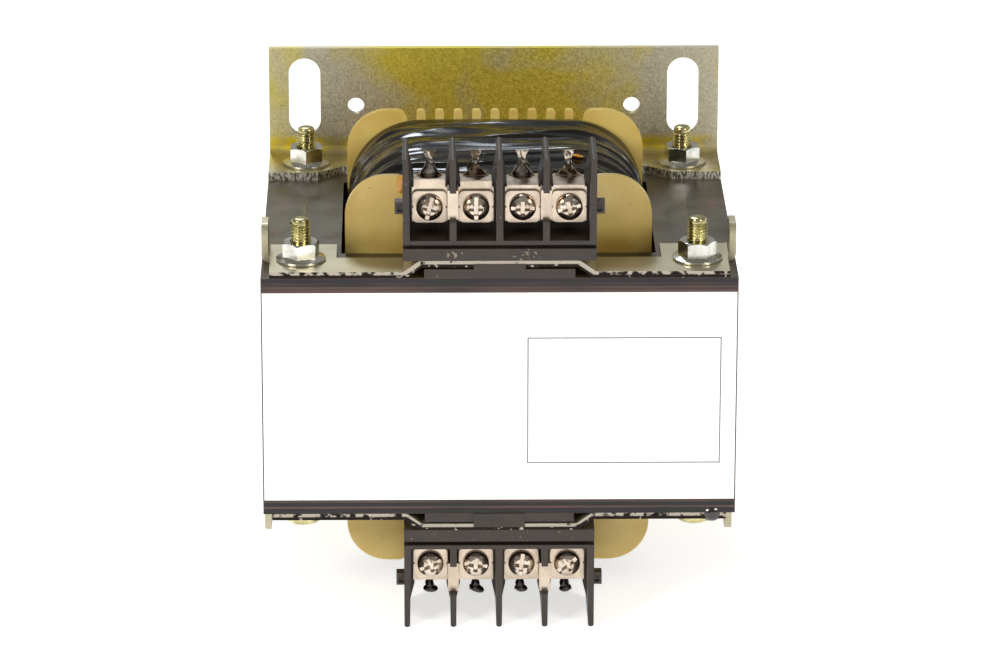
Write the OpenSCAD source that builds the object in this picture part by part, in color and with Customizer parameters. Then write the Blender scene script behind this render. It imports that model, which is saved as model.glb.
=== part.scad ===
// Laminated chassis transformer, built from its real pieces.
// X runs across the front, Y runs from the front to the panel it bolts to, and Z is up.
// Pieces are drawn about the middle plane of the lamination stack, with Y = 0 on its
// front face, and placed() moves them to the part's origin under its middle.

/* [Lamination stack] */
// Width of the centre leg that carries the coil
tongue_w = 38; // [36:0.5:44]
// Width of each window, between the centre leg and an outer leg
window_w = 19; // [18.5:0.5:24]
// Length of the windows, along the coil
window_l = 57; // [50:1:70]
// Width of the two yokes and the two outer legs
yoke_w = 19; // [18:0.5:24]
// Height of the stack
stack_h = 60; // [40:1:80]
// Number of interleaved packs in the stack, an even number
pack_count = 12; // [4:2:20]

/* [Core screws and nuts] */
// Thread diameter of the four core screws
screw_d = 5; // [4:0.5:6]
// How much wider the holes for the core screws are
screw_play = 0.6; // [0.4:0.1:1]
// Diameter of the screw heads
head_d = 9.6; // [8:0.1:11]
// Height of the screw heads
head_h = 3.7; // [3:0.1:4.5]
// Height of the rounded part of the screw heads
head_dome_h = 2; // [1:0.1:2.5]
// Diameter of the flat in the middle of the screw heads
head_flat_d = 5.4; // [5:0.1:7]
// Length of the recess's arms, end to end
recess_l = 4.8; // [3:0.1:5]
// Width of the recess's arms
recess_w = 1.2; // [0.8:0.1:1.6]
// Depth of the recess
recess_depth = 1.8; // [1:0.1:2.5]
// Chamfer at the screws' ends
screw_chamfer = 0.6; // [0.3:0.1:1]
// Thread that stands out of the nuts on the mounting bracket
thread_out = 5; // [2:0.5:9]
// Width across the flats of the nuts
nut_af = 8; // [7.5:0.1:10]
// Height of the nuts with their flanges
nut_h = 4.8; // [4:0.1:6]
// Diameter of the flange under each nut
nut_flange_d = 11.9; // [11:0.1:13]
// Thickness of the nut flange at its rim
nut_rim_t = 0.7; // [0.4:0.1:1.2]
// How much wider the nuts' bores are than the screws
nut_play = 0.1; // [0.1:0.05:0.3]

/* [Mounting brackets] */
// Sheet thickness of the brackets
bracket_t = 2; // [1.5:0.1:3]
// Inside radius of the bracket's bend
bracket_bend_r = 2.4; // [1:0.1:3]
// Height of the bracket's leg beyond the stack
leg_rise = 29.6; // [28:0.1:36]
// Depth of the bracket's two pads under the nuts
pad_depth = 17; // [16:0.5:22]
// Depth of the bracket between its pads
waist_depth = 12; // [8:0.5:15]
// Width of each bracket pad before it slopes back
pad_w = 12.5; // [12:0.5:14]
// Width of the slope beside each pad
pad_slope_w = 6; // [3:0.5:10]
// Width of the mounting slots
slot_w = 8; // [6:0.1:9]
// Length of the mounting slots, end to end
slot_l = 20.4; // [14:0.1:21]
// Distance between the two mounting slots of a bracket
slot_span = 96; // [94:0.5:98]
// Height of the slots' middle beyond the stack
slot_rise = 16.7; // [16.5:0.1:17.5]
// Diameter of the small fixing holes
fixing_d = 4.2; // [3:0.1:6]
// Distance between the two small holes of a bracket
fixing_span = 70; // [60:1:78]
// Height of the small holes beyond the stack
fixing_rise = 14.4; // [10:0.1:22]

/* [Terminal straps] */
// Sheet thickness of the straps
strap_t = 1.6; // [1.2:0.1:2]
// Depth of the strap where it passes the coil
strap_depth = 11; // [10:0.5:16]
// Depth of the strap's pads under the nuts
strap_pad_depth = 21.4; // [19:0.1:26]
// Gap between a strap pad and the edge of the window
strap_pad_gap = 1; // [0.5:0.1:3]
// Height of the raised bridge above the stack
bridge_rise = 2.7; // [2.2:0.1:4]
// Width of the flat top of the bridge
bridge_w = 37; // [30:0.5:40]
// Steepness of the bridge's ramps
ramp_angle = 36; // [25:1:45]
// Inside radius of the bends in the straps
strap_bend_r = 0.5; // [0.3:0.1:1.2]
// Width of the ears at the straps' ends
ear_w = 9.4; // [6:0.1:12]
// Height of the ears beyond the stack
ear_rise = 9.3; // [6:0.1:14]
// Corner radius of the ears
ear_corner_r = 2.5; // [1:0.1:3]

/* [Bobbin] */
// Clearance between the bobbin and each side of the centre leg
bobbin_play = 0.4; // [0.2:0.1:0.8]
// Wall of the bobbin's tube
bobbin_wall = 1.8; // [1:0.1:2]
// Corner radius of the bobbin's tube
tube_r = 2.5; // [1:0.1:4]
// Thickness of the bobbin's flanges
flange_t = 1.8; // [1.2:0.1:2.5]
// Gap between each flange and the yoke
flange_end_gap = 0.3; // [0.1:0.1:0.8]
// Gap between a flange and the outer legs
flange_side_gap = 1; // [0.4:0.1:1.4]
// Height of the flanges beyond the stack
flange_rise = 19.5; // [18.5:0.1:24]
// Radius of the flanges' corners
flange_r = 10; // [6:0.5:13]
// Number of teeth in each comb
tooth_count = 9; // [7:2:9]
// Distance from tooth to tooth
tooth_pitch = 4.63; // [4.2:0.01:4.8]
// Width of a tooth
tooth_w = 2.2; // [1.8:0.1:2.4]
// Corner radius of the teeth's tips
tooth_r = 0.7; // [0.2:0.1:0.8]
// Depth of the slots between the teeth
comb_depth = 9; // [7:0.5:11]
// Corner radius beside the combs
comb_corner_r = 2.5; // [1:0.1:4]

/* [Windings] */
// Thickness of the primary winding
primary_build = 7.1; // [5:0.1:7.5]
// Thickness of the insulation between the windings
insulation_t = 0.5; // [0.3:0.1:1]
// Thickness of the secondary winding
secondary_build = 6.6; // [5:0.1:7.2]
// Thickness of the tape round the coil
wrap_t = 1.2; // [0.6:0.1:1.7]
// How far the tape swells beyond its ends at the coil's middle
wrap_crown = 1.2; // [0:0.1:3]
// Height above the stack where the tape starts to swell
swell_start = 1; // [0:0.5:6]
// Number of broad folds along the tape
fold_count = 4; // [2:1:6]
// Height of the folds, from hollow to crest
fold_h = 0.8; // [0:0.1:1]
// How far each fold shifts along the coil from the tape's left side to its right
fold_lean = 4; // [0:0.5:10]

/* [Terminal blocks] */
// Number of poles on each block, an even number
pole_count = 4; // [2:2:4]
// Distance from pole to pole
pole_pitch = 11.1; // [10.6:0.1:11.6]
// Depth of the blocks, front to back
block_depth = 18; // [17:0.1:18.5]
// Height of a block's base, which sits on the bridge
base_h = 3; // [2:0.1:4]
// Height of the groove above the base
groove_h = 1; // [0.6:0.1:1.6]
// Depth of the groove
groove_depth = 1.6; // [0.8:0.1:3]
// Thickness of the floor between the barriers
floor_t = 1; // [0.8:0.1:2]
// Thickness of the barriers at the floor
fin_t = 1.7; // [1.4:0.1:1.9]
// Thickness of the barriers at their tips
fin_tip_t = 1.4; // [1:0.1:1.4]
// Flat between the rounded corners of a barrier's tip
fin_tip_flat = 0.2; // [0.1:0.1:0.8]
// Height of the seats that carry the terminals, above the floor
seat_h = 10.2; // [9.8:0.1:11]
// Distance from the block's front to the seats
seat_setback = 8.8; // [8.4:0.1:9.2]
// Distance from the seats' front to the ribs
rib_step = 0.2; // [0.2:0.1:1]
// How far the ribs beside the seats stand out of a barrier
rib_t = 0.8; // [0.4:0.1:0.9]
// Height of the ribs' straight part above the seats
rib_h = 2; // [1:0.1:3]
// Height of the ribs' taper
rib_taper_h = 4.5; // [3:0.1:5.5]
// Width of the foot that grips the bridge
foot_w = 12.4; // [10:0.1:16]
// Height of the foot's lip in front of the bridge's edge
foot_lip_h = 0.8; // [0.3:0.1:1.2]
// Thickness of the foot's lip
foot_lip_t = 0.2; // [0.1:0.05:0.2]
// Width of the wings that lie under the bridge on both sides of the foot
wing_w = 36; // [20:0.5:37]
// Height of the wings
wing_h = 2.2; // [1:0.1:2.5]
// Width of the neck between the foot and the base
neck_w = 8; // [6:0.1:9]
// Distance from the front of the bridge to the neck
neck_setback = 3; // [2:0.1:5]
// Play of the neck in the bridge's slot, each side
neck_play = 0.2; // [0.1:0.1:0.5]
// Side of the square pegs at a block's ends
peg_side = 3; // [2:0.1:4]
// Wall round the pocket in each peg
peg_wall = 0.6; // [0.4:0.1:0.9]
// Length of the pegs
peg_l = 1.9; // [1:0.1:3]
// Height of the pegs' middle above the floor
peg_height = 8; // [6:0.1:11]
// Distance from the block's front to the pegs
peg_setback = 0.8; // [0.4:0.1:3]

/* [Terminals] */
// Sheet thickness of the terminals
terminal_t = 0.8; // [0.5:0.1:1]
// Play of the terminal's strip between the ribs, each side
strip_play = 0.1; // [0.05:0.05:0.4]
// Distance from the block's back to the solder lugs
lug_inset = 0.4; // [0:0.1:1]
// Width of the solder lug at its root
lug_root_w = 6.4; // [4:0.1:7]
// Width of the solder lug at its waist
lug_waist_w = 1.4; // [1:0.1:2]
// Width of the solder lug at its tip
lug_tip_w = 3.2; // [2:0.1:4]
// Height of the lug's waist above the terminal
lug_waist_h = 3.4; // [2:0.1:4]
// Height of the lug above the terminal
lug_h = 6.3; // [5:0.1:7.5]
// Height of the clamp plates
clamp_h = 7.9; // [6:0.1:8]
// Thickness of the clamp plates
clamp_t = 1; // [0.6:0.1:1.4]
// Gap between a clamp plate and what is beside it
clamp_side_gap = 0.1; // [0.05:0.05:0.4]
// Corner radius of the clamp plates
clamp_r = 1.3; // [0.5:0.1:2]
// Side of the square nick in each edge of a clamp plate
clamp_nick = 0.5; // [0.2:0.1:0.8]
// Height of the screws above the floor
terminal_screw_height = 6.3; // [5.5:0.1:6.5]
// Thread diameter of the terminal screws
terminal_screw_d = 3.5; // [3:0.1:4]
// Length of the terminal screws under their heads
terminal_screw_l = 7; // [5:0.5:9]
// Diameter of the terminal screws' heads
terminal_head_d = 6.4; // [5.5:0.1:7]
// Height of the terminal screws' heads
terminal_head_h = 2.2; // [1.8:0.1:3]
// Height of the heads' straight rim
terminal_rim_h = 0.7; // [0.3:0.1:1]
// Width of the slot and the cross in the heads
driver_w = 1; // [0.6:0.1:1.2]
// Depth of the slot
driver_slot_depth = 0.8; // [0.4:0.1:1.2]
// Length of the cross's arms, end to end
driver_cross_l = 3.5; // [2.5:0.1:4.5]
// Depth of the cross
driver_cross_depth = 1.3; // [0.8:0.1:1.6]
// How much wider the holes in the terminals are than the screws
terminal_hole_play = 0.1; // [0.1:0.05:0.5]
// How much wider the holes in the clamp plates are
clamp_hole_play = 0.5; // [0.1:0.1:0.8]
// How much wider the screw holes in the blocks are
pilot_play = 0.6; // [0.1:0.1:1]
// Sheet thickness of the jumper links
link_t = 0.45; // [0.3:0.05:0.6]
// Height of the jumper links
link_h = 7.2; // [5:0.1:8]
// Height of the links' middle above the floor
link_height = 8.2; // [7:0.1:9]
// Distance from the block's front to the links
link_setback = 2.3; // [1:0.1:3]

/* [Winding leads] */
// Outer diameter of the sleeved leads
lead_d = 1.3; // [0.8:0.1:1.6]
// Height where the leads leave the coil, above the stack
lead_exit_rise = 13; // [12:0.1:14]
// Radius of the leads' bend at the coil
lead_bend_r = 0.7; // [0.65:0.01:0.8]
// Height of the leads' bend towards the lugs
lead_reach_h = 2; // [1:0.1:3]
// Straight stretch of a lead before its lug
lead_straight_l = 0.3; // [0.1:0.1:1]

/* [Label] */
// Bare edge of the stack above and below the label
label_margin = 3.65; // [2:0.05:12]
// Thickness of the label
label_t = 0.2; // [0.1:0.05:0.5]
// Gap between the label's ends and the stack's sides
label_end_gap = 0.3; // [0:0.1:6]

/* [Hidden] */

// Overshoot of the cutting shapes
cut = 1;
// Smoothness of the round bores and shafts
round_fn = 48;

// Lamination stack
core_w = tongue_w + 2 * (window_w + yoke_w);
core_d = window_l + 2 * yoke_w;
half_stack = stack_h / 2;
window_outer_x = tongue_w / 2 + window_w;
pack_h = stack_h / pack_count;
screw_x = (core_w - yoke_w) / 2;
screw_ys = [yoke_w / 2, core_d - yoke_w / 2];
screw_hole_d = screw_d + screw_play;

// Bobbin and windings, as sizes of the outline round the coil's axis
// The stack is built up until it fills the bobbin, so there is no play in its height
tube_in = [tongue_w / 2 + bobbin_play, half_stack];
tube_out = tube_in + [bobbin_wall, bobbin_wall];
flange_half = [window_outer_x - flange_side_gap, half_stack + flange_rise];
bobbin_y = yoke_w + flange_end_gap;
bobbin_l = window_l - 2 * flange_end_gap;
coil_y = bobbin_y + flange_t;
coil_l = bobbin_l - 2 * flange_t;
insulation_in = primary_build;
secondary_in = insulation_in + insulation_t;
wrap_in = secondary_in + secondary_build;
wrap_out = wrap_in + wrap_t;

// Numbers of straight pieces in the coil's corners, the tape's flats and crown, and small bends
arc_steps = 12;
flat_steps = 6;
crown_steps = 24;
bend_steps = 6;

// Terminal strap
strap_flat_x = core_w / 2 - strap_bend_r - strap_t;
strap_pad_x = window_outer_x + strap_pad_gap;
bridge_top = bridge_rise + strap_t;

// Terminal block, with heights above the stack
groove_z = bridge_top + base_h;
floor_z = groove_z + groove_h;
bay_z = floor_z + floor_t;
seat_z = bay_z + seat_h;
fin_tip_z = leg_rise;
half_block = pole_count * pole_pitch / 2 + fin_t / 2;
pole_gap = pole_pitch - fin_t;
terminal_screw_z = bay_z + terminal_screw_height;
terminal_w = pole_gap - 2 * link_t;
strip_w = pole_gap - 2 * (rib_t + strip_play);
clamp_w = terminal_w - 2 * clamp_side_gap;
terminal_front = seat_setback - terminal_t;
clamp_front = terminal_front - clamp_t;
lug_y = block_depth - lug_inset - terminal_t;
rib_setback = seat_setback + rib_step;
link_z = bay_z + link_height - link_h / 2;
pilot_d = terminal_screw_d + pilot_play;
pilot_l = terminal_screw_l - clamp_t - terminal_t + cut;

// Slopes of the nuts' flanges and of the chamfers on their corners
nut_cone_slope = 0.32;
nut_chamfer_slope = 0.6;
nut_rim_chamfer = 0.2;

// How each nut and terminal screw happens to be turned, in degrees
nut_turns = [-10, 28, 0, 11];
turns_top = [104, 90, 0, 166];
turns_bottom = [25, 172, 83, 36];

// How far the lip at the front of each upper terminal stands up from the strip
lips_top = [1.9, 1.4, 0.4, 0.4];
lips_bottom = [0, 0, 0, 0];

// Part origin: under the middle of the whole part
back_y = core_d + bracket_t;
middle_y = (back_y - label_t) / 2;
middle_z = half_stack + leg_rise;

// ---- helpers ----

// Points of an arc about c, from angle a0 to a1, in n steps
function arc(c, r, a0, a1, n) =
    [for (i = [0:n]) let (a = a0 + (a1 - a0) * i / n) c + r * [cos(a), sin(a)]];

// Outline of a rectangle of half sizes h with corners of radius r
function rounded(h, r, n = arc_steps) = concat(
    arc([h.x - r, h.y - r], r, 0, 90, n), arc([r - h.x, h.y - r], r, 90, 180, n),
    arc([r - h.x, r - h.y], r, 180, 270, n), arc([h.x - r, r - h.y], r, 270, 360, n));

// Outline of the coil at a given build-up over the bobbin's tube
function coil_outline(build) = rounded(tube_out + [build, build], tube_r + build);

// The same outline for the tape, with points along its top and bottom for the folds to follow
function tape_outline() =
    let (half = tube_out + [wrap_out, wrap_out], r = tube_r + wrap_out, flat = half.x - r)
    concat(
        arc([flat, half.y - r], r, 0, 90, arc_steps),
        [for (k = [1:flat_steps - 1]) [flat - 2 * flat * k / flat_steps, half.y]],
        arc([-flat, half.y - r], r, 90, 180, arc_steps),
        arc([-flat, r - half.y], r, 180, 270, arc_steps),
        [for (k = [1:flat_steps - 1]) [2 * flat * k / flat_steps - flat, -half.y]],
        arc([flat, r - half.y], r, 270, 360, arc_steps));

// X of a pole, counted from 0 at the left
function pole_x(i) = (i - (pole_count - 1) / 2) * pole_pitch;

// X of the comb slot nearest to x
function comb_slot_x(x) = (round(x / tooth_pitch - 0.5) + 0.5) * tooth_pitch;

// From the pieces' frame to the part's origin
module placed() translate([0, -middle_y, middle_z]) children();

// Onto the top of the stack, and under its bottom as a mirror image
module on_top() translate([0, 0, half_stack]) children();
module on_bottom() mirror([0, 0, 1]) on_top() children();

// Extrude an XZ outline along Y, and a YZ outline along X
module along_y(y, l) translate([0, y + l, 0]) rotate([90, 0, 0]) linear_extrude(l) children();
module along_x(x, l) translate([x, 0, 0]) rotate([90, 0, 90]) linear_extrude(l) children();

// A box from its low corner to its high corner
module box(low, high) translate(low) cube(high - low);

// A copy on the right and a mirrored copy on the left
module both_sides() {
    children();
    mirror([1, 0, 0]) children();
}

// The core screws' places, left and right, front and back
module at_core_screws()
    for (row = [0, 1], side = [0, 1])
        translate([(side * 2 - 1) * screw_x, screw_ys[row], 0]) {
            $nut_turn = nut_turns[row * 2 + side];
            $seat_t = row == 0 ? strap_t : bracket_t;
            children();
        }

// ---- lamination stack ----

// Bars of the stack that lie at the front (parity 1) or at the back (parity 0)
module yoke_bars(parity, spare = 0)
    for (k = [parity:2:pack_count - 1])
        translate([0, parity == 1 ? -spare : core_d - yoke_w, k * pack_h - half_stack])
            translate([-core_w / 2 - spare, 0, 0])
                cube([core_w + 2 * spare, yoke_w + spare, pack_h]);

module core_screw_holes()
    at_core_screws() cylinder(d = screw_hole_d, h = stack_h + 2 * cut, center = true, $fn = round_fn);

module e_laminations() placed() color("#3b2f30") difference() {
    box([-core_w / 2, 0, -half_stack], [core_w / 2, core_d, half_stack]);
    both_sides() box([tongue_w / 2, yoke_w, -half_stack - cut],
                     [window_outer_x, core_d - yoke_w, half_stack + cut]);
    yoke_bars(0, cut);
    yoke_bars(1, cut);
    core_screw_holes();
}

module i_laminations() placed() color("#453a36") difference() {
    union() {
        yoke_bars(0);
        yoke_bars(1);
    }
    core_screw_holes();
}

// ---- bobbin and windings ----

// One comb tooth, standing up from the slots' bottom to the flange's edge
module comb_tooth() {
    half = tooth_w / 2;
    r = tooth_r;
    polygon(concat([[half, -cut]], arc([half - r, comb_depth - r], r, 0, 90, bend_steps),
                   arc([r - half, comb_depth - r], r, 90, 180, bend_steps), [[-half, -cut]]));
}

// What the comb's opening removes from a flange, with its two rounded corners
module comb_opening() {
    half = (tooth_count + 1) * tooth_pitch / 2 - tooth_w / 2;
    r = comb_corner_r;
    polygon(concat([[-half, 0], [half, 0]],
                   arc([half + r, comb_depth - r], r, 180, 90, bend_steps),
                   [[half + r, comb_depth + cut], [-half - r, comb_depth + cut]],
                   arc([-half - r, comb_depth - r], r, 90, 0, bend_steps)));
}

module flange_outline() {
    comb_z = flange_half.y - comb_depth;
    difference() {
        polygon(rounded(flange_half, flange_r));
        for (side = [0, 1]) mirror([0, side]) translate([0, comb_z]) comb_opening();
    }
    for (side = [0, 1], i = [0:tooth_count - 1])
        mirror([0, side]) translate([(i - (tooth_count - 1) / 2) * tooth_pitch, comb_z]) comb_tooth();
}

module bobbin() placed() color("#d3bf78") difference() {
    union() {
        along_y(bobbin_y, flange_t) flange_outline();
        along_y(bobbin_y + bobbin_l - flange_t, flange_t) flange_outline();
        along_y(bobbin_y, bobbin_l) polygon(rounded(tube_out, tube_r));
    }
    along_y(bobbin_y - cut, bobbin_l + 2 * cut) square(2 * tube_in, center = true);
}

// A layer of the coil between two build-ups over the bobbin's tube
module coil_layer(inner, outer) along_y(coil_y, coil_l) difference() {
    polygon(coil_outline(outer));
    polygon(coil_outline(inner));
}

module primary_winding() placed() color("#a5642f") coil_layer(0, insulation_in);

module interwinding_insulation() placed() color("#c9a05a") coil_layer(insulation_in, secondary_in);

module secondary_winding() placed() color("#b5713a") coil_layer(secondary_in, wrap_in);

// The tape swells beyond the stack, most at the middle of the coil's length, and lies in folds
function fold(t, x) =
    let (shift = fold_lean * x / (2 * (tube_out.x + wrap_out)) / coil_l)
    fold_h / 2 * sin(180 * t) * cos(360 * fold_count * (t + shift));
function swell(t, x) = wrap_crown * (1 - pow(2 * t - 1, 2)) + fold(t, x);
function wrap_ring(t) =
    let (low = half_stack + swell_start, span = tube_out.y + wrap_out - low)
    [for (p = tape_outline())
        [p.x, coil_y + coil_l * t, p.y + sign(p.y) * swell(t, p.x) * max(0, abs(p.y) - low) / span]];

module wrap_body() {
    n = len(tape_outline());
    points = [for (j = [0:crown_steps]) each wrap_ring(j / crown_steps)];
    walls = [for (j = [0:crown_steps - 1], i = [0:n - 1])
        let (a = j * n + i, b = j * n + (i + 1) % n) each [[a, b, b + n], [a, b + n, a + n]]];
    last = crown_steps * n;
    polyhedron(points, concat(walls, [[for (i = [n - 1:-1:0]) i]], [[for (i = [0:n - 1]) last + i]]));
}

module coil_wrap() placed() color("#1c1a1a") difference() {
    wrap_body();
    along_y(coil_y - cut, coil_l + 2 * cut) polygon(coil_outline(wrap_in));
}

// ---- winding leads ----

// A round lead swept along a route that stays near one plane of constant X
module swept_lead(route) {
    sides = 8;
    last = len(route) - 1;
    function heading(k) =
        let (d = route[min(k + 1, last)] - route[max(k - 1, 0)]) d / norm(d);
    points = [for (k = [0:last])
        let (t = heading(k), u = cross(t, [1, 0, 0]), v = cross(u / norm(u), t))
        for (s = [0:sides - 1])
            route[k] + lead_d / 2 * (cos(360 * s / sides) * u / norm(u) + sin(360 * s / sides) * v)];
    walls = [for (k = [0:last - 1], s = [0:sides - 1])
        let (a = k * sides + s, b = k * sides + (s + 1) % sides)
        each [[a, a + sides, b + sides], [a, b + sides, b]]];
    polyhedron(points, concat(walls, [[for (s = [0:sides - 1]) s]],
                              [[for (s = [sides - 1:-1:0]) last * sides + s]]));
}

// Each lead leaves the coil through a comb slot, rises in it and reaches the back of a lug
module leads() {
    slot_y = bobbin_y + flange_t / 2;
    lug_back = lug_y + terminal_t;
    end_z = seat_z + terminal_t + lug_waist_h;
    reach_y = lug_back + lead_straight_l;
    for (i = [0:pole_count - 1]) {
        x0 = comb_slot_x(pole_x(i));
        x1 = pole_x(i);
        rise = [for (k = [0:bend_steps]) let (a = 90 * k / bend_steps)
            [x0, slot_y + lead_bend_r * (1 - sin(a)), lead_exit_rise + lead_bend_r * (1 - cos(a))]];
        over = [for (k = [0:bend_steps]) let (a = 90 * k / bend_steps, f = (1 - cos(2 * a)) / 2)
            [x0 + (x1 - x0) * f, reach_y + (slot_y - reach_y) * cos(a), end_z - lead_reach_h * (1 - sin(a))]];
        swept_lead(concat([[x0, coil_y, lead_exit_rise]], rise, [[x0, slot_y, flange_rise]],
                          over, [[x1, lug_back, end_z]]));
    }
}

module leads_top() placed() on_top() color("#8c9146") leads();

module leads_bottom() placed() on_bottom() color("#8c9146") leads();

// ---- terminal straps ----

// Upper or lower face of the strap's left ramp, at a distance off the lower face
function ramp_face(off) =
    let (bends = 2 * strap_bend_r + strap_t,
         slant = (bridge_rise - bends * (1 - cos(ramp_angle))) / sin(ramp_angle),
         x_up = -bridge_w / 2,
         x_low = x_up - bends * sin(ramp_angle) - slant * cos(ramp_angle))
    concat(
        arc([x_low, strap_t + strap_bend_r], strap_bend_r + strap_t - off, -90, ramp_angle - 90, bend_steps),
        arc([x_up, bridge_rise - strap_bend_r], strap_bend_r + off, 90 + ramp_angle, 90, bend_steps));

function mirrored(points) = [for (i = [len(points) - 1:-1:0]) [-points[i].x, points[i].y]];
function reversed(points) = [for (i = [len(points) - 1:-1:0]) points[i]];

module strap_profile() {
    below = ramp_face(0);
    above = ramp_face(strap_t);
    polygon(concat([[-strap_flat_x, 0]], below, mirrored(below), [[strap_flat_x, 0], [strap_flat_x, strap_t]],
                   reversed(mirrored(above)), reversed(above), [[-strap_flat_x, strap_t]]));
}

// Section of the right ear, bent up out of the pad's end
module ear_profile() {
    c = [strap_flat_x, strap_t + strap_bend_r];
    polygon(concat([[strap_flat_x - strap_t, 0]], arc(c, strap_bend_r + strap_t, -90, 0, bend_steps),
                   [[core_w / 2, ear_rise], [core_w / 2 - strap_t, ear_rise]],
                   arc(c, strap_bend_r, 0, -90, bend_steps), [[strap_flat_x - strap_t, strap_t]]));
}

// Rounds off the two upper corners of an ear
module ear_corner_cuts() {
    r = ear_corner_r;
    y0 = strap_pad_depth - ear_w;
    along_x(strap_flat_x - cut, strap_bend_r + strap_t + 2 * cut) {
        polygon(concat(arc([y0 + r, ear_rise - r], r, 180, 90, bend_steps),
                       [[y0 + r, ear_rise + cut], [y0 - cut, ear_rise + cut], [y0 - cut, ear_rise - r]]));
        polygon(concat(arc([strap_pad_depth - r, ear_rise - r], r, 90, 0, bend_steps),
                       [[strap_pad_depth + cut, ear_rise - r], [strap_pad_depth + cut, ear_rise + cut],
                        [strap_pad_depth - r, ear_rise + cut]]));
    }
}

module terminal_strap() {
    difference() {
        along_y(0, strap_pad_depth) strap_profile();
        box([-strap_pad_x, strap_depth, -cut], [strap_pad_x, strap_pad_depth + cut, bridge_top + cut]);
        box([-neck_w / 2 - neck_play, neck_setback - neck_play, -cut],
            [neck_w / 2 + neck_play, strap_depth + cut, bridge_top + cut]);
        at_core_screws()
            cylinder(d = screw_hole_d, h = 2 * (strap_t + cut), center = true, $fn = round_fn);
    }
    both_sides() difference() {
        along_y(strap_pad_depth - ear_w, ear_w) ear_profile();
        ear_corner_cuts();
    }
}

module terminal_strap_top() placed() on_top() color("#9a9884") terminal_strap();

module terminal_strap_bottom() placed() on_bottom() color("#9a9884") terminal_strap();

// ---- mounting brackets ----

// Section of the bracket: a flange on the stack and a leg up the panel
module bracket_profile() {
    r = bracket_bend_r;
    c = [core_d - r, bracket_t + r];
    front = core_d - pad_depth;
    polygon(concat([[front, 0]], arc(c, r + bracket_t, -90, 0, bend_steps),
                   [[back_y, leg_rise], [core_d, leg_rise]], arc(c, r, 0, -90, bend_steps),
                   [[front, bracket_t]]));
}

// What is cut from the flange between its pads
module bracket_waist() {
    x0 = core_w / 2 - pad_w;
    x1 = x0 - pad_slope_w;
    y0 = core_d - pad_depth;
    y1 = core_d - waist_depth;
    translate([0, 0, -cut]) linear_extrude(bracket_t + 2 * cut)
        polygon([[-x0 - cut, y0 - cut], [x0 + cut, y0 - cut], [x0, y0], [x1, y1], [-x1, y1], [-x0, y0]]);
}

module mounting_slot() {
    reach = (slot_l - slot_w) / 2;
    box([-slot_w / 2, 0, -reach], [slot_w / 2, bracket_t + 2 * cut, reach]);
    for (z = [-reach, reach])
        translate([0, 0, z]) rotate([-90, 0, 0])
            cylinder(d = slot_w, h = bracket_t + 2 * cut, $fn = round_fn);
}

module mounting_bracket() difference() {
    along_x(-core_w / 2, core_w) bracket_profile();
    bracket_waist();
    at_core_screws()
        cylinder(d = screw_hole_d, h = 2 * (bracket_t + cut), center = true, $fn = round_fn);
    for (side = [-1, 1]) {
        translate([side * slot_span / 2, core_d - cut, slot_rise]) mounting_slot();
        translate([side * fixing_span / 2, core_d - cut, fixing_rise])
            rotate([-90, 0, 0]) cylinder(d = fixing_d, h = bracket_t + 2 * cut, $fn = round_fn);
    }
}

module mounting_bracket_top() placed() on_top() color("#a3994f") mounting_bracket();

module mounting_bracket_bottom() placed() on_bottom() color("#a3994f") mounting_bracket();

// ---- core screws and nuts ----

// Domed head below z = 0 with a cross recess, and a plain shank above it
module core_screw() {
    screw_l = stack_h + 2 * bracket_t + nut_h + thread_out;
    function dome_r(a) = (head_flat_d + (head_d - head_flat_d) * sin(a)) / 2;
    function dome_z(a) = -head_h + head_dome_h * (1 - cos(a));
    difference() {
        rotate_extrude($fn = round_fn) polygon(concat(
            [[0, -head_h]], [for (a = [0:15:90]) [dome_r(a), dome_z(a)]],
            [[head_d / 2, 0], [screw_d / 2, 0], [screw_d / 2, screw_l - screw_chamfer],
             [screw_d / 2 - screw_chamfer, screw_l], [0, screw_l]]));
        for (turn = [0, 90]) rotate(turn) translate([0, 0, -head_h])
            cube([recess_l, recess_w, 2 * recess_depth], center = true);
    }
}

module core_screws() placed() color("#c9ccca")
    at_core_screws() translate([0, 0, -half_stack - $seat_t]) core_screw();

// Hexagon with chamfered corners on a conical flange
module core_nut() {
    flat_r = nut_af / 2;
    corner_r = flat_r / cos(30);
    cone_r = corner_r + cut;
    rim = nut_flange_d / 2;
    neck_z = nut_rim_t + (rim - flat_r) * nut_cone_slope;
    difference() {
        union() {
            rotate_extrude($fn = round_fn) polygon([[0, 0], [rim - nut_rim_chamfer, 0],
                [rim, nut_rim_chamfer], [rim, nut_rim_t], [flat_r, neck_z], [0, neck_z]]);
            intersection() {
                cylinder(r = corner_r, h = nut_h, $fn = 6);
                rotate_extrude($fn = round_fn) polygon([[0, 0], [cone_r, 0],
                    [cone_r, nut_h - (cone_r - flat_r) * nut_chamfer_slope], [flat_r, nut_h], [0, nut_h]]);
            }
        }
        translate([0, 0, -cut]) cylinder(d = screw_d + nut_play, h = nut_h + 2 * cut, $fn = round_fn);
    }
}

module core_nuts() placed() on_top() color("#c4c8c8")
    at_core_screws() translate([0, 0, $seat_t]) rotate($nut_turn - 90) core_nut();

// ---- terminal blocks ----

// Section of a barrier that narrows to a rounded tip; an end barrier narrows on its inner side only
module fin_profile(share_left, share_right) {
    taper = fin_t - fin_tip_t;
    r = (fin_tip_t - fin_tip_flat) / 2;
    left = -fin_t / 2 + share_left * taper;
    right = fin_t / 2 - share_right * taper;
    polygon(concat([[-fin_t / 2, floor_z], [fin_t / 2, floor_z]],
                   arc([right - r, fin_tip_z - r], r, 0, 90, bend_steps),
                   arc([left + r, fin_tip_z - r], r, 90, 180, bend_steps)));
}

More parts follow.
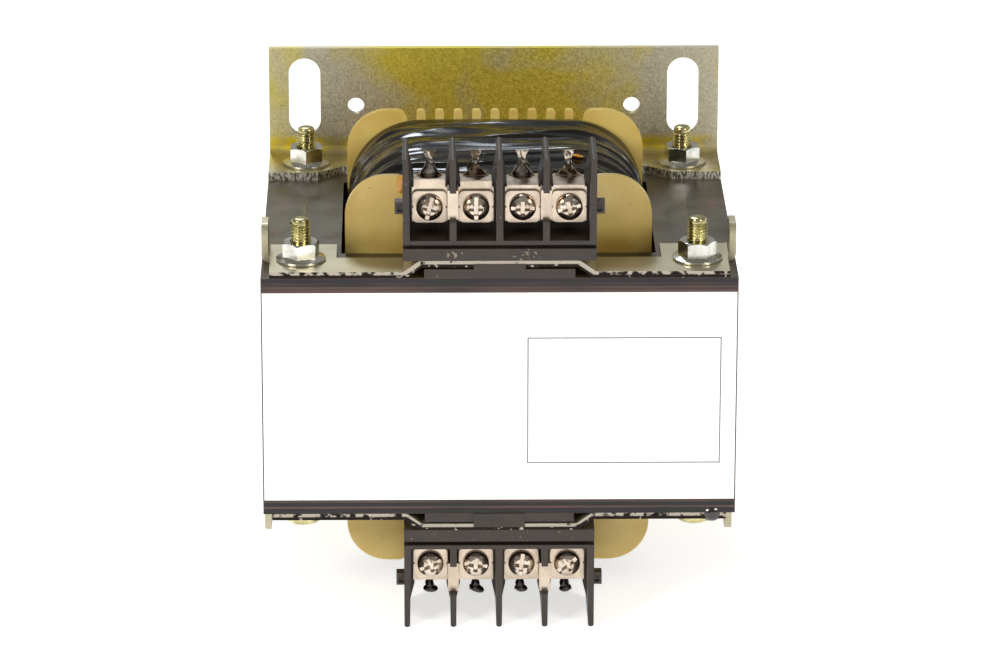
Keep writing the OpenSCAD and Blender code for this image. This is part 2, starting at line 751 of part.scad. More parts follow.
// The rib that thickens a barrier beside the terminals, on its right face
module rib_profile(share) {
    tip_x = fin_t / 2 - share * (fin_t - fin_tip_t);
    rib_x = fin_t / 2 + rib_t;
    rib_z = seat_z + rib_h;
    polygon([[0, floor_z], [rib_x, floor_z], [rib_x, rib_z], [tip_x, rib_z + rib_taper_h],
             [0, rib_z + rib_taper_h]]);
}

module barrier(i) {
    left = i == 0 ? 0 : i == pole_count ? 1 : 0.5;
    right = 1 - left;
    linked = i % 2 == 1;
    translate([(i - pole_count / 2) * pole_pitch, 0, 0]) difference() {
        union() {
            along_y(0, block_depth) fin_profile(left, right);
            along_y(rib_setback, block_depth - rib_setback) {
                if (right > 0) rib_profile(right);
                if (left > 0) mirror([1, 0]) rib_profile(left);
            }
        }
        if (linked) box([-fin_t, -cut, link_z], [fin_t, link_setback + link_t, link_z + link_h]);
    }
}

// Square end peg with a pocket in its front
module end_peg() {
    low = bay_z + peg_height - peg_side / 2;
    high = low + peg_side;
    difference() {
        box([half_block - fin_t / 2, peg_setback, low], [half_block + peg_l, peg_setback + peg_side, high]);
        box([half_block, peg_setback - cut, low + peg_wall],
            [half_block + peg_l - peg_wall, peg_setback + peg_wall, high - peg_wall]);
    }
}

module terminal_block() {
    foot_l = strap_depth - 2 * neck_play;
    difference() {
        union() {
            box([-half_block, 0, bridge_top], [half_block, block_depth, groove_z]);
            box([-half_block, groove_depth, bridge_top], [half_block, block_depth, bay_z]);
            box([-half_block, 0, floor_z], [half_block, block_depth, bay_z]);
            box([-half_block, seat_setback, floor_z], [half_block, block_depth, seat_z]);
            for (i = [0:pole_count]) barrier(i);
            both_sides() end_peg();
            box([-neck_w / 2, neck_setback, 0], [neck_w / 2, foot_l, groove_z]);
            box([-foot_w / 2, 0, 0], [foot_w / 2, foot_l, bridge_rise]);
            box([-foot_w / 2, -foot_lip_t, 0], [foot_w / 2, 0, bridge_rise + foot_lip_h]);
            box([-wing_w / 2, 0, 0], [wing_w / 2, foot_l, wing_h]);
        }
        for (i = [0:pole_count - 1])
            translate([pole_x(i), seat_setback - cut, terminal_screw_z])
                rotate([-90, 0, 0]) cylinder(d = pilot_d, h = pilot_l + cut, $fn = round_fn);
    }
}

module terminal_block_top() placed() on_top() color("#4a4140") terminal_block();

module terminal_block_bottom() placed() on_bottom() color("#4a4140") terminal_block();

// ---- terminals, clamps, screws and links ----

// Outline of the hourglass solder lug, standing on the terminal
module lug_outline() {
    steps = 5;
    z0 = seat_z + terminal_t;
    function half_w(h) = h < lug_waist_h
        ? lug_waist_w / 2 + (lug_root_w - lug_waist_w) / 2 * pow(1 - h / lug_waist_h, 2)
        : lug_waist_w / 2 + (lug_tip_w - lug_waist_w) / 2
            * pow((h - lug_waist_h) / (lug_h - lug_waist_h), 2);
    heights = concat([for (i = [0:steps]) lug_waist_h * i / steps],
                     [for (i = [1:steps]) lug_waist_h + (lug_h - lug_waist_h) * i / steps]);
    right = [for (h = heights) [half_w(h), z0 + h]];
    polygon(concat([[lug_root_w / 2, seat_z]], right, mirrored(right), [[-lug_root_w / 2, seat_z]]));
}

// Sheet terminal: a face behind the clamp with a lip, a strip over the seat, and a lug at the back
module terminal(i, lip) translate([pole_x(i), 0, 0]) {
    face_z = max(bay_z, terminal_screw_z - clamp_h / 2);
    difference() {
        box([-terminal_w / 2, terminal_front, face_z], [terminal_w / 2, seat_setback, seat_z + terminal_t]);
        translate([0, terminal_front - cut, terminal_screw_z]) rotate([-90, 0, 0])
            cylinder(d = terminal_screw_d + terminal_hole_play, h = terminal_t + 2 * cut, $fn = round_fn);
    }
    box([-strip_w / 2, terminal_front, seat_z], [strip_w / 2, lug_y + terminal_t, seat_z + terminal_t]);
    box([-strip_w / 2, terminal_front, seat_z], [strip_w / 2, seat_setback, seat_z + terminal_t + lip]);
    along_y(lug_y, terminal_t) lug_outline();
}

// Square clamp plate with rounded corners, a screw hole and a nick in each side
module clamp_plate() difference() {
    along_y(clamp_front, clamp_t) difference() {
        polygon(rounded([clamp_w / 2, clamp_h / 2], clamp_r, bend_steps));
        for (side = [-1, 1]) translate([side * clamp_w / 2, 0]) rotate(45) square(clamp_nick, center = true);
    }
    rotate([-90, 0, 0]) cylinder(d = terminal_screw_d + clamp_hole_play, h = seat_setback, $fn = round_fn);
}

module clamp_plates() for (i = [0:pole_count - 1])
    translate([pole_x(i), 0, terminal_screw_z]) clamp_plate();

// Domed screw with a slot and a cross, its head towards -Y
module terminal_screw() {
    r = terminal_head_d / 2;
    h = terminal_head_h;
    dome_h = h - terminal_rim_h;
    rotate([-90, 0, 0]) difference() {
        rotate_extrude($fn = round_fn) polygon(concat(
            [for (a = [0:15:90]) [r * sin(a), -terminal_rim_h - dome_h * cos(a)]],
            [[r, 0], [terminal_screw_d / 2, 0], [terminal_screw_d / 2, terminal_screw_l],
             [0, terminal_screw_l]]));
        translate([0, 0, -h]) cube([terminal_head_d + cut, driver_w, 2 * driver_slot_depth], center = true);
        for (turn = [0, 90]) rotate(turn) translate([0, 0, -h])
            cube([driver_cross_l, driver_w, 2 * driver_cross_depth], center = true);
    }
}

module terminal_screws(turns) for (i = [0:pole_count - 1])
    translate([pole_x(i), clamp_front, terminal_screw_z])
        rotate([0, turns[i], 0]) terminal_screw();

// Folded link that straddles a barrier and joins the terminals on its two sides
module jumper_links() for (i = [1:2:pole_count - 1])
    translate([(i - pole_count / 2) * pole_pitch, 0, link_z]) difference() {
        box([-fin_t / 2 - link_t, link_setback, 0], [fin_t / 2 + link_t, seat_setback, link_h]);
        box([-fin_t / 2, link_setback + link_t, -cut], [fin_t / 2, seat_setback + cut, link_h + cut]);
    }

module metal_top() placed() on_top() color("#d9cdc6") children();
module metal_bottom() placed() on_bottom() color("#d9cdc6") children();

// ---- label ----

// Plain label glued to the front of the stack
module label() placed() color("white")
    box([label_end_gap - core_w / 2, -label_t, label_margin - half_stack],
        [core_w / 2 - label_end_gap, 0, half_stack - label_margin]);

// ---- the part ----

e_laminations();
i_laminations();
bobbin();
primary_winding();
interwinding_insulation();
secondary_winding();
coil_wrap();
leads_top();
leads_bottom();
terminal_strap_top();
terminal_strap_bottom();
mounting_bracket_top();
mounting_bracket_bottom();
core_screws();
core_nuts();
terminal_block_top();
terminal_block_bottom();
metal_top() terminal(0, lips_top[0]);  // terminal_top_1
metal_top() terminal(1, lips_top[1]);  // terminal_top_2
metal_top() terminal(2, lips_top[2]);  // terminal_top_3
metal_top() terminal(3, lips_top[3]);  // terminal_top_4
metal_bottom() terminal(0, lips_bottom[0]);  // terminal_bottom_1
metal_bottom() terminal(1, lips_bottom[1]);  // terminal_bottom_2
metal_bottom() terminal(2, lips_bottom[2]);  // terminal_bottom_3
metal_bottom() terminal(3, lips_bottom[3]);  // terminal_bottom_4
metal_top() clamp_plates();  // clamp_plates_top
metal_bottom() clamp_plates();  // clamp_plates_bottom
metal_top() terminal_screws(turns_top);  // terminal_screws_top
metal_bottom() terminal_screws(turns_bottom);  // terminal_screws_bottom
metal_top() jumper_links();  // jumper_links_top
metal_bottom() jumper_links();  // jumper_links_bottom
label();
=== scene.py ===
# %% [markdown]
# # A laminated chassis transformer
# This lesson dresses a transformer whose solid pieces are already modelled. We keep every solid
# where it is, give each one the finish of the real material, and model the pieces that only
# show their character close up: threads, wrinkled tape, solder and dripped varnish.

# %% Load the solid model
import math

import bpy
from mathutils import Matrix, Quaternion, Vector


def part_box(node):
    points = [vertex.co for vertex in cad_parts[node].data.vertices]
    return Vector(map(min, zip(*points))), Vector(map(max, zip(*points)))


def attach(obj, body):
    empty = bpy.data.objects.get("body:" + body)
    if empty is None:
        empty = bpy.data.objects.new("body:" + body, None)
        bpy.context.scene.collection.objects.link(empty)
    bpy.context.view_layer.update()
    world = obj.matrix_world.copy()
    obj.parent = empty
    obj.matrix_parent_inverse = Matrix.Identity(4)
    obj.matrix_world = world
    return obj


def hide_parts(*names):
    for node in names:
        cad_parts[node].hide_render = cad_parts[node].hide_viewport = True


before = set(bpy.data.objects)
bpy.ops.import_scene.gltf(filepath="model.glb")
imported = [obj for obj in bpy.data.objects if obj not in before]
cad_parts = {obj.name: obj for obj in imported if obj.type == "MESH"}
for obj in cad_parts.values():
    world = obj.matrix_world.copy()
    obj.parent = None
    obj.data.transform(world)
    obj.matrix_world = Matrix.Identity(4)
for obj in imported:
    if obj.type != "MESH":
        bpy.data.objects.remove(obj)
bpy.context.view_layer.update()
print("solid pieces:", len(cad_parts))

# %% [markdown]
# ## Places to measure from
# All the new pieces take their place from the solids, so we read the few planes that matter:
# the stack's front, its top and bottom, and the middle between the two terminal blocks. The
# part is the same above and below, so a height is often counted outwards from the stack.

# %% Measure the stack
MM = 0.001
core_low, core_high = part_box("e_laminations")
front_y = core_low.y
middle_z = (core_low.z + core_high.z) / 2
half_stack = (core_high.z - core_low.z) / 2
print("stack front at", round(front_y / MM, 2), "mm, top at", round(core_high.z / MM, 2), "mm")


def at(x, depth, rise, side=1):
    """A place in metres: x and depth behind the front in mm, rise in mm beyond the stack."""
    return Vector((x * MM, front_y + depth * MM, middle_z + side * (half_stack + rise * MM)))


# %% [markdown]
# ## Camera and light
# A long lens from a little over a metre keeps the sides of the part nearly parallel. The light
# is that of a small product table: two large soft boxes beside the camera, one high behind, and a
# pale table top that glows a little so that the undersides are filled.

# %% Set the camera
AIM = Vector((0.89, -0.9, 59.4)) * MM
YAW, DOWN, ROLL = 0.01695, 0.33389, 0.00195
DISTANCE = 1.3248
look = Vector((math.sin(YAW) * math.cos(DOWN), math.cos(YAW) * math.cos(DOWN), -math.sin(DOWN)))
lens = bpy.data.cameras.new("camera")
lens.lens = 192
camera = bpy.data.objects.new("camera", lens)
bpy.context.collection.objects.link(camera)
camera.rotation_mode = "QUATERNION"
camera.rotation_quaternion = look.to_track_quat("-Z", "Y") @ Quaternion((0, 0, 1), ROLL)
camera.location = AIM - look * DISTANCE
bpy.context.scene.camera = camera
bpy.context.scene.view_settings.view_transform = "Standard"
print("camera at", [round(v, 3) for v in camera.location])


# %% Place the lights
def soft_box(name, place, size, power, colour=(1, 1, 1)):
    """A square area light that faces the middle of the part."""
    light = bpy.data.lights.new(name, "AREA")
    light.size = size
    light.energy = power
    light.color = colour
    lamp = bpy.data.objects.new(name, light)
    bpy.context.collection.objects.link(lamp)
    lamp.location = place
    lamp.rotation_mode = "QUATERNION"
    lamp.rotation_quaternion = (AIM - Vector(place)).to_track_quat("-Z", "Y")


soft_box("box_left", (-0.9, -0.9, 0.75), 0.45, 11, (1, 0.96, 0.9))
soft_box("box_right", (0.9, -0.9, 0.75), 0.45, 8, (1, 0.96, 0.9))
soft_box("box_behind", (-0.15, 1.0, 1.05), 0.3, 6, (0.86, 0.92, 1))
world = bpy.data.worlds.new("studio")
bpy.context.scene.world = world
world.use_nodes = True
sky = world.node_tree.nodes["Background"]
sky.inputs["Color"].default_value = (0.84, 0.82, 0.79, 1)
sky.inputs["Strength"].default_value = 0.36

# %% [markdown]
# ## Helpers for materials
# Colours are written as the hex values of a paint chart, which one function turns into the
# linear values that the renderer needs. A second function adds a node, so that a material reads
# as a list of what it is made of. Patterns read Object coordinates, in metres, so their scale
# comes from real sizes.


# %% Colour and node helpers
def linear(hex_code):
    """Turns a chart colour such as #3b2f30 into linear red, green, blue and alpha."""
    values = [int(hex_code[i:i + 2], 16) / 255 for i in (1, 3, 5)]
    return (*[v / 12.92 if v <= 0.04045 else ((v + 0.055) / 1.055) ** 2.4 for v in values], 1)


def add(tree, kind, inputs=(), **settings):
    """Adds a node, applies its settings and fills its inputs with values or links."""
    made = tree.nodes.new("ShaderNode" + kind)
    for name, value in settings.items():
        setattr(made, name, value)
    for name, value in dict(inputs).items():
        if isinstance(value, bpy.types.NodeSocket):
            tree.links.new(value, made.inputs[name])
        else:
            made.inputs[name].default_value = value
    return made


def start(name, **values):
    """A new material, its node tree, its shader and the Object coordinates it reads."""
    finish = bpy.data.materials.new(name)
    finish.use_nodes = True
    tree = finish.node_tree
    shader = tree.nodes["Principled BSDF"]
    for key, value in values.items():
        shader.inputs[key.replace("_", " ").title().replace("Ior", "IOR")].default_value = value
    return finish, tree, shader, add(tree, "TexCoord")


def per(size_mm):
    """Scale of a noise pattern whose blotches are about this wide, in mm."""
    return 1 / (size_mm * MM)


def dress(finish, *names):
    """Puts a finish on solid pieces through their material slots."""
    for name in names:
        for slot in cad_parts[name].material_slots:
            slot.material = finish


# Number of the colour and value sockets of a Mix node
COLOUR_A, COLOUR_B, COLOUR_OUT = 6, 7, 2
VALUE_A, VALUE_B = 2, 3

# %% [markdown]
# ## Varnished lamination steel
# The core is a stack of 0.5 mm silicon steel sheets that was dipped in brown varnish. Its edges
# show every sheet as a fine line, and its top is one rolled face under a glossy film. One
# material can do both, because a face that looks up or down is a sheet's face and any other
# is a row of cut edges. Each sheet gets its own shade from its number in the stack.

# %% Varnished steel
SHEET_T = 0.5


def varnished_steel():
    finish, tree, shader, place = start("varnished_silicon_steel", metallic=0.15, coat_weight=0.2,
                                        coat_roughness=0.12)
    spot = place.outputs["Object"]
    height = add(tree, "SeparateXYZ", {0: spot}).outputs["Z"]
    facing = add(tree, "SeparateXYZ", {0: place.outputs["Normal"]}).outputs["Z"]
    upright = add(tree, "Math", {0: facing}, operation="ABSOLUTE").outputs[0]
    face = add(tree, "Math", {0: upright, 1: 0.7}, operation="GREATER_THAN").outputs[0]
    counted = add(tree, "Math", {0: height, 1: SHEET_T * MM}, operation="DIVIDE").outputs[0]
    number = add(tree, "Math", {0: counted}, operation="FLOOR").outputs[0]
    shade = add(tree, "TexWhiteNoise", {"W": number}, noise_dimensions="1D").outputs["Value"]
    across = add(tree, "Mapping", {"Vector": spot, "Scale": (1, 1, 14)}).outputs[0]
    streak = add(tree, "TexNoise", {"Vector": across, "Scale": per(22), "Detail": 6}).outputs["Fac"]
    tone = add(tree, "Math", {0: shade, 1: streak}, operation="MULTIPLY").outputs[0]
    tone = add(tree, "MapRange", {"Value": tone, "From Min": 0.15, "From Max": 0.6}).outputs[0]
    edge = add(tree, "Mix", {0: tone, COLOUR_A: linear("#040202"), COLOUR_B: linear("#553a33")},
               data_type="RGBA").outputs[COLOUR_OUT]
    cloud = add(tree, "TexNoise", {"Vector": spot, "Scale": per(9), "Detail": 5}).outputs["Fac"]
    cloud = add(tree, "MapRange", {"Value": cloud, "From Min": 0.35, "From Max": 0.65}).outputs[0]
    film = add(tree, "Mix", {0: cloud, COLOUR_A: linear("#352f22"), COLOUR_B: linear("#4d4528")},
               data_type="RGBA").outputs[COLOUR_OUT]
    patch = add(tree, "TexNoise", {"Vector": spot, "Scale": per(7), "Detail": 4, "Distortion": 0.6,
                                   "Roughness": 0.6}, noise_dimensions="3D").outputs["Fac"]
    patch = add(tree, "MapRange", {"Value": patch, "From Min": 0.6, "From Max": 0.66}).outputs[0]
    film = add(tree, "Mix", {0: patch, COLOUR_A: film, COLOUR_B: linear("#5d3a26")},
               data_type="RGBA").outputs[COLOUR_OUT]
    colour = add(tree, "Mix", {0: face, COLOUR_A: edge, COLOUR_B: film}, data_type="RGBA")
    tree.links.new(colour.outputs[COLOUR_OUT], shader.inputs["Base Color"])
    wave = add(tree, "Math", {0: counted}, operation="PINGPONG")
    wave.inputs[1].default_value = 0.5
    ridge = add(tree, "Mix", {0: face, VALUE_A: wave.outputs[0], VALUE_B: 0.5}).outputs[0]
    bump = add(tree, "Bump", {"Height": ridge, "Distance": 0.06 * MM, "Strength": 0.8})
    tree.links.new(bump.outputs[0], shader.inputs["Normal"])
    rough = add(tree, "MapRange", {"Value": cloud, "To Min": 0.3, "To Max": 0.5})
    tree.links.new(rough.outputs[0], shader.inputs["Roughness"])
    return finish


steel = varnished_steel()
dress(steel, "e_laminations", "i_laminations")
print("dressed the stack in", steel.name)

# %% [markdown]
# ## Yellow chromated zinc
# The mounting brackets are mild steel, zinc plated and dipped in yellow chromate. The film is a
# few hundredths of a micron thick, so its colour wanders from grey through olive to gold, and it
# is strongest where the liquid gathered in the bend. A broad noise sets the wandering, a fine
# one gives the dull grain of rolled sheet, and the height above the stack finds the bend. The
# front edges of the pads were sheared, which leaves them torn and bright.


# %% Brackets
BRACKET_T = 2.0
BEND_RISE = 4.3


def chromated_zinc():
    finish, tree, shader, place = start("yellow_chromated_zinc", metallic=0.85)
    spot = place.outputs["Object"]
    height = add(tree, "SeparateXYZ", {0: spot}).outputs["Z"]
    from_middle = add(tree, "Math", {0: height, 1: middle_z}, operation="SUBTRACT").outputs[0]
    from_middle = add(tree, "Math", {0: from_middle}, operation="ABSOLUTE").outputs[0]
    from_bend = add(tree, "Math", {0: from_middle, 1: half_stack + BEND_RISE * MM}, operation="SUBTRACT")
    from_bend = add(tree, "Math", {0: from_bend.outputs[0]}, operation="ABSOLUTE").outputs[0]
    near_bend = add(tree, "MapRange", {"Value": from_bend, "From Min": 1 * MM, "From Max": 2.7 * MM,
                                       "To Min": 1, "To Max": 0}).outputs[0]
    side = add(tree, "SeparateXYZ", {0: spot}).outputs["X"]
    side = add(tree, "Math", {0: side}, operation="ABSOLUTE").outputs[0]
    inner = add(tree, "MapRange", {"Value": side, "From Min": 12 * MM, "From Max": 44 * MM, "To Min": 0.2,
                                   "To Max": -0.08}).outputs[0]
    broad = add(tree, "TexNoise", {"Vector": spot, "Scale": per(26), "Detail": 3,
                                   "Distortion": 0.5}).outputs["Fac"]
    broad = add(tree, "Math", {0: broad, 1: inner}, operation="ADD").outputs[0]
    broad = add(tree, "MapRange", {"Value": broad, "From Min": 0.46, "From Max": 0.68}).outputs[0]
    stain = add(tree, "TexNoise", {"Vector": spot, "Scale": per(6), "Detail": 4}).outputs["Fac"]
    stain = add(tree, "MapRange", {"Value": stain, "From Min": 0.25, "From Max": 0.6}).outputs[0]
    grain = add(tree, "TexNoise", {"Vector": spot, "Scale": per(0.45), "Detail": 4}).outputs["Fac"]
    grain = add(tree, "MapRange", {"Value": grain, "From Min": 0.25, "From Max": 0.75}).outputs[0]
    grey = add(tree, "Mix", {0: grain, COLOUR_A: linear("#a39d86"), COLOUR_B: linear("#cfc9b2")},
               data_type="RGBA").outputs[COLOUR_OUT]
    gold = add(tree, "Mix", {0: grain, COLOUR_A: linear("#b8a838"), COLOUR_B: linear("#dccc5c")},
               data_type="RGBA").outputs[COLOUR_OUT]
    deep = add(tree, "Mix", {0: stain, COLOUR_A: linear("#b8a52e"), COLOUR_B: linear("#e2c820")},
               data_type="RGBA").outputs[COLOUR_OUT]
    body = add(tree, "Mix", {0: broad, COLOUR_A: grey, COLOUR_B: gold},
               data_type="RGBA").outputs[COLOUR_OUT]
    bend = add(tree, "Math", {0: near_bend, 1: stain}, operation="MULTIPLY").outputs[0]
    body = add(tree, "Mix", {0: bend, COLOUR_A: body, COLOUR_B: deep},
               data_type="RGBA").outputs[COLOUR_OUT]
    facing = add(tree, "SeparateXYZ", {0: place.outputs["Normal"]}).outputs["Y"]
    cut = add(tree, "Math", {0: facing, 1: -0.6}, operation="LESS_THAN").outputs[0]
    pad = add(tree, "Math", {0: from_middle, 1: half_stack + BRACKET_T * MM}, operation="LESS_THAN")
    cut = add(tree, "Math", {0: cut, 1: pad.outputs[0]}, operation="MULTIPLY").outputs[0]
    torn = add(tree, "Mapping", {"Vector": spot, "Scale": (1, 1, 0.35)}).outputs[0]
    torn = add(tree, "TexNoise", {"Vector": torn, "Scale": per(0.5), "Detail": 3}).outputs["Fac"]
    torn = add(tree, "MapRange", {"Value": torn, "From Min": 0.4, "From Max": 0.6}).outputs[0]
    sheared = add(tree, "Mix", {0: torn, COLOUR_A: linear("#6e6a58"), COLOUR_B: linear("#efece0")},
                  data_type="RGBA").outputs[COLOUR_OUT]
    colour = add(tree, "Mix", {0: cut, COLOUR_A: body, COLOUR_B: sheared}, data_type="RGBA")
    tree.links.new(colour.outputs[COLOUR_OUT], shader.inputs["Base Color"])
    rough = add(tree, "MapRange", {"Value": grain, "To Min": 0.4, "To Max": 0.6})
    tree.links.new(rough.outputs[0], shader.inputs["Roughness"])
    bump = add(tree, "Bump", {"Height": grain, "Distance": 0.02 * MM, "Strength": 0.4})
    tree.links.new(bump.outputs[0], shader.inputs["Normal"])
    return finish


bracket_finish = chromated_zinc()
dress(bracket_finish, "mounting_bracket_top", "mounting_bracket_bottom")
print("dressed the brackets in", bracket_finish.name)

# %% [markdown]
# ## Clear zinc under thin varnish
# The terminal straps are plated in plain zinc. They were dipped with the core, so their top is
# dull grey with a little olive from the varnish. Their front edge is dark on its lower half and pale
# along its upper half, bare metal with a painted highlight from above, which follows the bridge and its
# ramps.


# %% Straps
STRAP_T = 1.6
RAMP_X = (18.5, 22.4)
BRIDGE_RISE = 2.7


def varnished_zinc():
    finish, tree, shader, place = start("varnished_clear_zinc", metallic=0.75)
    spot = place.outputs["Object"]
    across = add(tree, "SeparateXYZ", {0: spot})
    facing = add(tree, "SeparateXYZ", {0: place.outputs["Normal"]}).outputs["Y"]
    front = add(tree, "Math", {0: facing, 1: -0.7}, operation="LESS_THAN").outputs[0]
    at_front = add(tree, "Math", {0: across.outputs["Y"], 1: front_y + 0.5 * MM},
                   operation="LESS_THAN").outputs[0]
    front = add(tree, "Math", {0: front, 1: at_front}, operation="MULTIPLY").outputs[0]
    cloud = add(tree, "TexNoise", {"Vector": spot, "Scale": per(8), "Detail": 4}).outputs["Fac"]
    grain = add(tree, "TexNoise", {"Vector": spot, "Scale": per(0.6), "Detail": 2}).outputs["Fac"]
    zinc = add(tree, "Mix", {0: cloud, COLOUR_A: linear("#a09a80"), COLOUR_B: linear("#c0b9a0")},
               data_type="RGBA").outputs[COLOUR_OUT]
    beyond = add(tree, "Math", {0: across.outputs["Z"], 1: middle_z}, operation="SUBTRACT").outputs[0]
    apart = add(tree, "Math", {0: across.outputs["X"]}, operation="ABSOLUTE").outputs[0]
    middle = add(tree, "MapRange", {"Value": apart, "From Min": RAMP_X[0] * MM, "From Max": RAMP_X[1] * MM,
                                    "To Min": half_stack + (BRIDGE_RISE + STRAP_T / 2) * MM,
                                    "To Max": half_stack + STRAP_T / 2 * MM}).outputs[0]
    way = add(tree, "Math", {0: beyond}, operation="SIGN").outputs[0]
    middle = add(tree, "Math", {0: middle, 1: way}, operation="MULTIPLY").outputs[0]
    upper = add(tree, "Math", {0: beyond, 1: middle}, operation="SUBTRACT").outputs[0]
    # Painted highlight and bare metal: the upper half of the front edge turns pale; the lower half stays
    # dark.
    bare_and_lit_half = add(tree, "MapRange", {"Value": upper, "From Min": -0.1 * MM, "From Max": 0.1 * MM}).outputs[0]
    dulled = add(tree, "MapRange", {"Value": apart, "From Min": RAMP_X[1] * MM,
                                    "From Max": (RAMP_X[1] + 3) * MM, "To Min": 0, "To Max": 0.12})
    chip = add(tree, "TexNoise", {"Vector": spot, "Scale": per(1.6), "Detail": 4}).outputs["Fac"]
    thin = add(tree, "Math", {0: chip, 1: dulled.outputs[0]}, operation="SUBTRACT").outputs[0]
    thin = add(tree, "MapRange", {"Value": thin, "From Min": 0.33, "From Max": 0.4}).outputs[0]
    bare_and_lit_half = add(tree, "Math", {0: bare_and_lit_half, 1: thin}, operation="MULTIPLY").outputs[0]
    chip = add(tree, "MapRange", {"Value": chip, "From Min": 0.63, "From Max": 0.67}).outputs[0]
    chips_and_lit_half = add(tree, "Math", {0: bare_and_lit_half, 1: chip}, operation="MAXIMUM").outputs[0]
    edge = add(tree, "Mix", {0: chips_and_lit_half, COLOUR_A: linear("#1c1412"), COLOUR_B: linear("#aaa295")},
               data_type="RGBA").outputs[COLOUR_OUT]
    colour = add(tree, "Mix", {0: front, COLOUR_A: zinc, COLOUR_B: edge}, data_type="RGBA")
    tree.links.new(colour.outputs[COLOUR_OUT], shader.inputs["Base Color"])
    rough = add(tree, "MapRange", {"Value": grain, "To Min": 0.34, "To Max": 0.5})
    tree.links.new(rough.outputs[0], shader.inputs["Roughness"])
    bump = add(tree, "Bump", {"Height": grain, "Distance": 0.02 * MM, "Strength": 0.5})
    tree.links.new(bump.outputs[0], shader.inputs["Normal"])
    return finish


strap_finish = varnished_zinc()
dress(strap_finish, "terminal_strap_top", "terminal_strap_bottom")
print("dressed the straps in", strap_finish.name)

# %% [markdown]
# ## Varnished nylon
# The bobbin is moulded in natural nylon, which lets a little light in, so it needs subsurface
# scattering. The clear varnish turned it amber, a darker amber within a few mm of the stack. A slow
# noise gives the uneven tint, and a cell pattern gives the few dark specks in it.


# %% Bobbin
def varnished_nylon():
    finish, tree, shader, place = start("varnished_nylon", roughness=0.36, subsurface_weight=0.25,
                                        subsurface_scale=1.5 * MM, coat_weight=0.25,
                                        coat_roughness=0.2)
    shader.inputs["Subsurface Radius"].default_value = (1.0, 0.7, 0.3)
    spot = place.outputs["Object"]
    height = add(tree, "SeparateXYZ", {0: spot}).outputs["Z"]
    rise = add(tree, "Math", {0: height, 1: middle_z}, operation="SUBTRACT").outputs[0]
    rise = add(tree, "Math", {0: rise}, operation="ABSOLUTE").outputs[0]
    low = add(tree, "MapRange", {"Value": rise, "From Min": half_stack + 1 * MM,
                                 "From Max": half_stack + 7 * MM, "To Min": 1, "To Max": 0}).outputs[0]
    tint = add(tree, "TexNoise", {"Vector": spot, "Scale": per(14), "Detail": 3}).outputs["Fac"]
    tint = add(tree, "MapRange", {"Value": tint, "From Min": 0.35, "From Max": 0.68}).outputs[0]
    body = add(tree, "Mix", {0: tint, COLOUR_A: linear("#d9c071"), COLOUR_B: linear("#c6a850")},
               data_type="RGBA").outputs[COLOUR_OUT]
    # Darker amber within a few mm of the stack, above and below it.
    darker_near_stack = add(tree, "Math", {0: low, 1: tint}, operation="MULTIPLY").outputs[0]
    body = add(tree, "Mix", {0: darker_near_stack, COLOUR_A: body, COLOUR_B: linear("#96722a")},
               data_type="RGBA").outputs[COLOUR_OUT]
    cell = add(tree, "TexVoronoi", {"Vector": spot, "Scale": per(4.5)}).outputs["Distance"]
    speck = add(tree, "MapRange", {"Value": cell, "From Min": 0.03, "From Max": 0.06,
                                   "To Min": 0.8, "To Max": 0}).outputs[0]
    colour = add(tree, "Mix", {0: speck, COLOUR_A: body, COLOUR_B: linear("#6b5330")},
                 data_type="RGBA")
    tree.links.new(colour.outputs[COLOUR_OUT], shader.inputs["Base Color"])
    skin = add(tree, "TexNoise", {"Vector": spot, "Scale": per(1.6), "Detail": 2}).outputs["Fac"]
    bump = add(tree, "Bump", {"Height": skin, "Distance": 0.05 * MM, "Strength": 0.35})
    tree.links.new(bump.outputs[0], shader.inputs["Normal"])
    return finish


nylon = varnished_nylon()
dress(nylon, "bobbin")
print("dressed the bobbin in", nylon.name)

# %% [markdown]
# ## Moulded phenolic
# The terminal blocks are compression moulded phenolic: nearly black, slightly brown, with a
# satin skin. Scuffs and dried varnish make pale flecks on it, most of all in two worn places
# on the front of the base.


# %% Blocks
CHIP_X = (-11.9, 6.1)
CHIP_RISE = 5.3
CHIP_HALF = (3.1, 1.3)


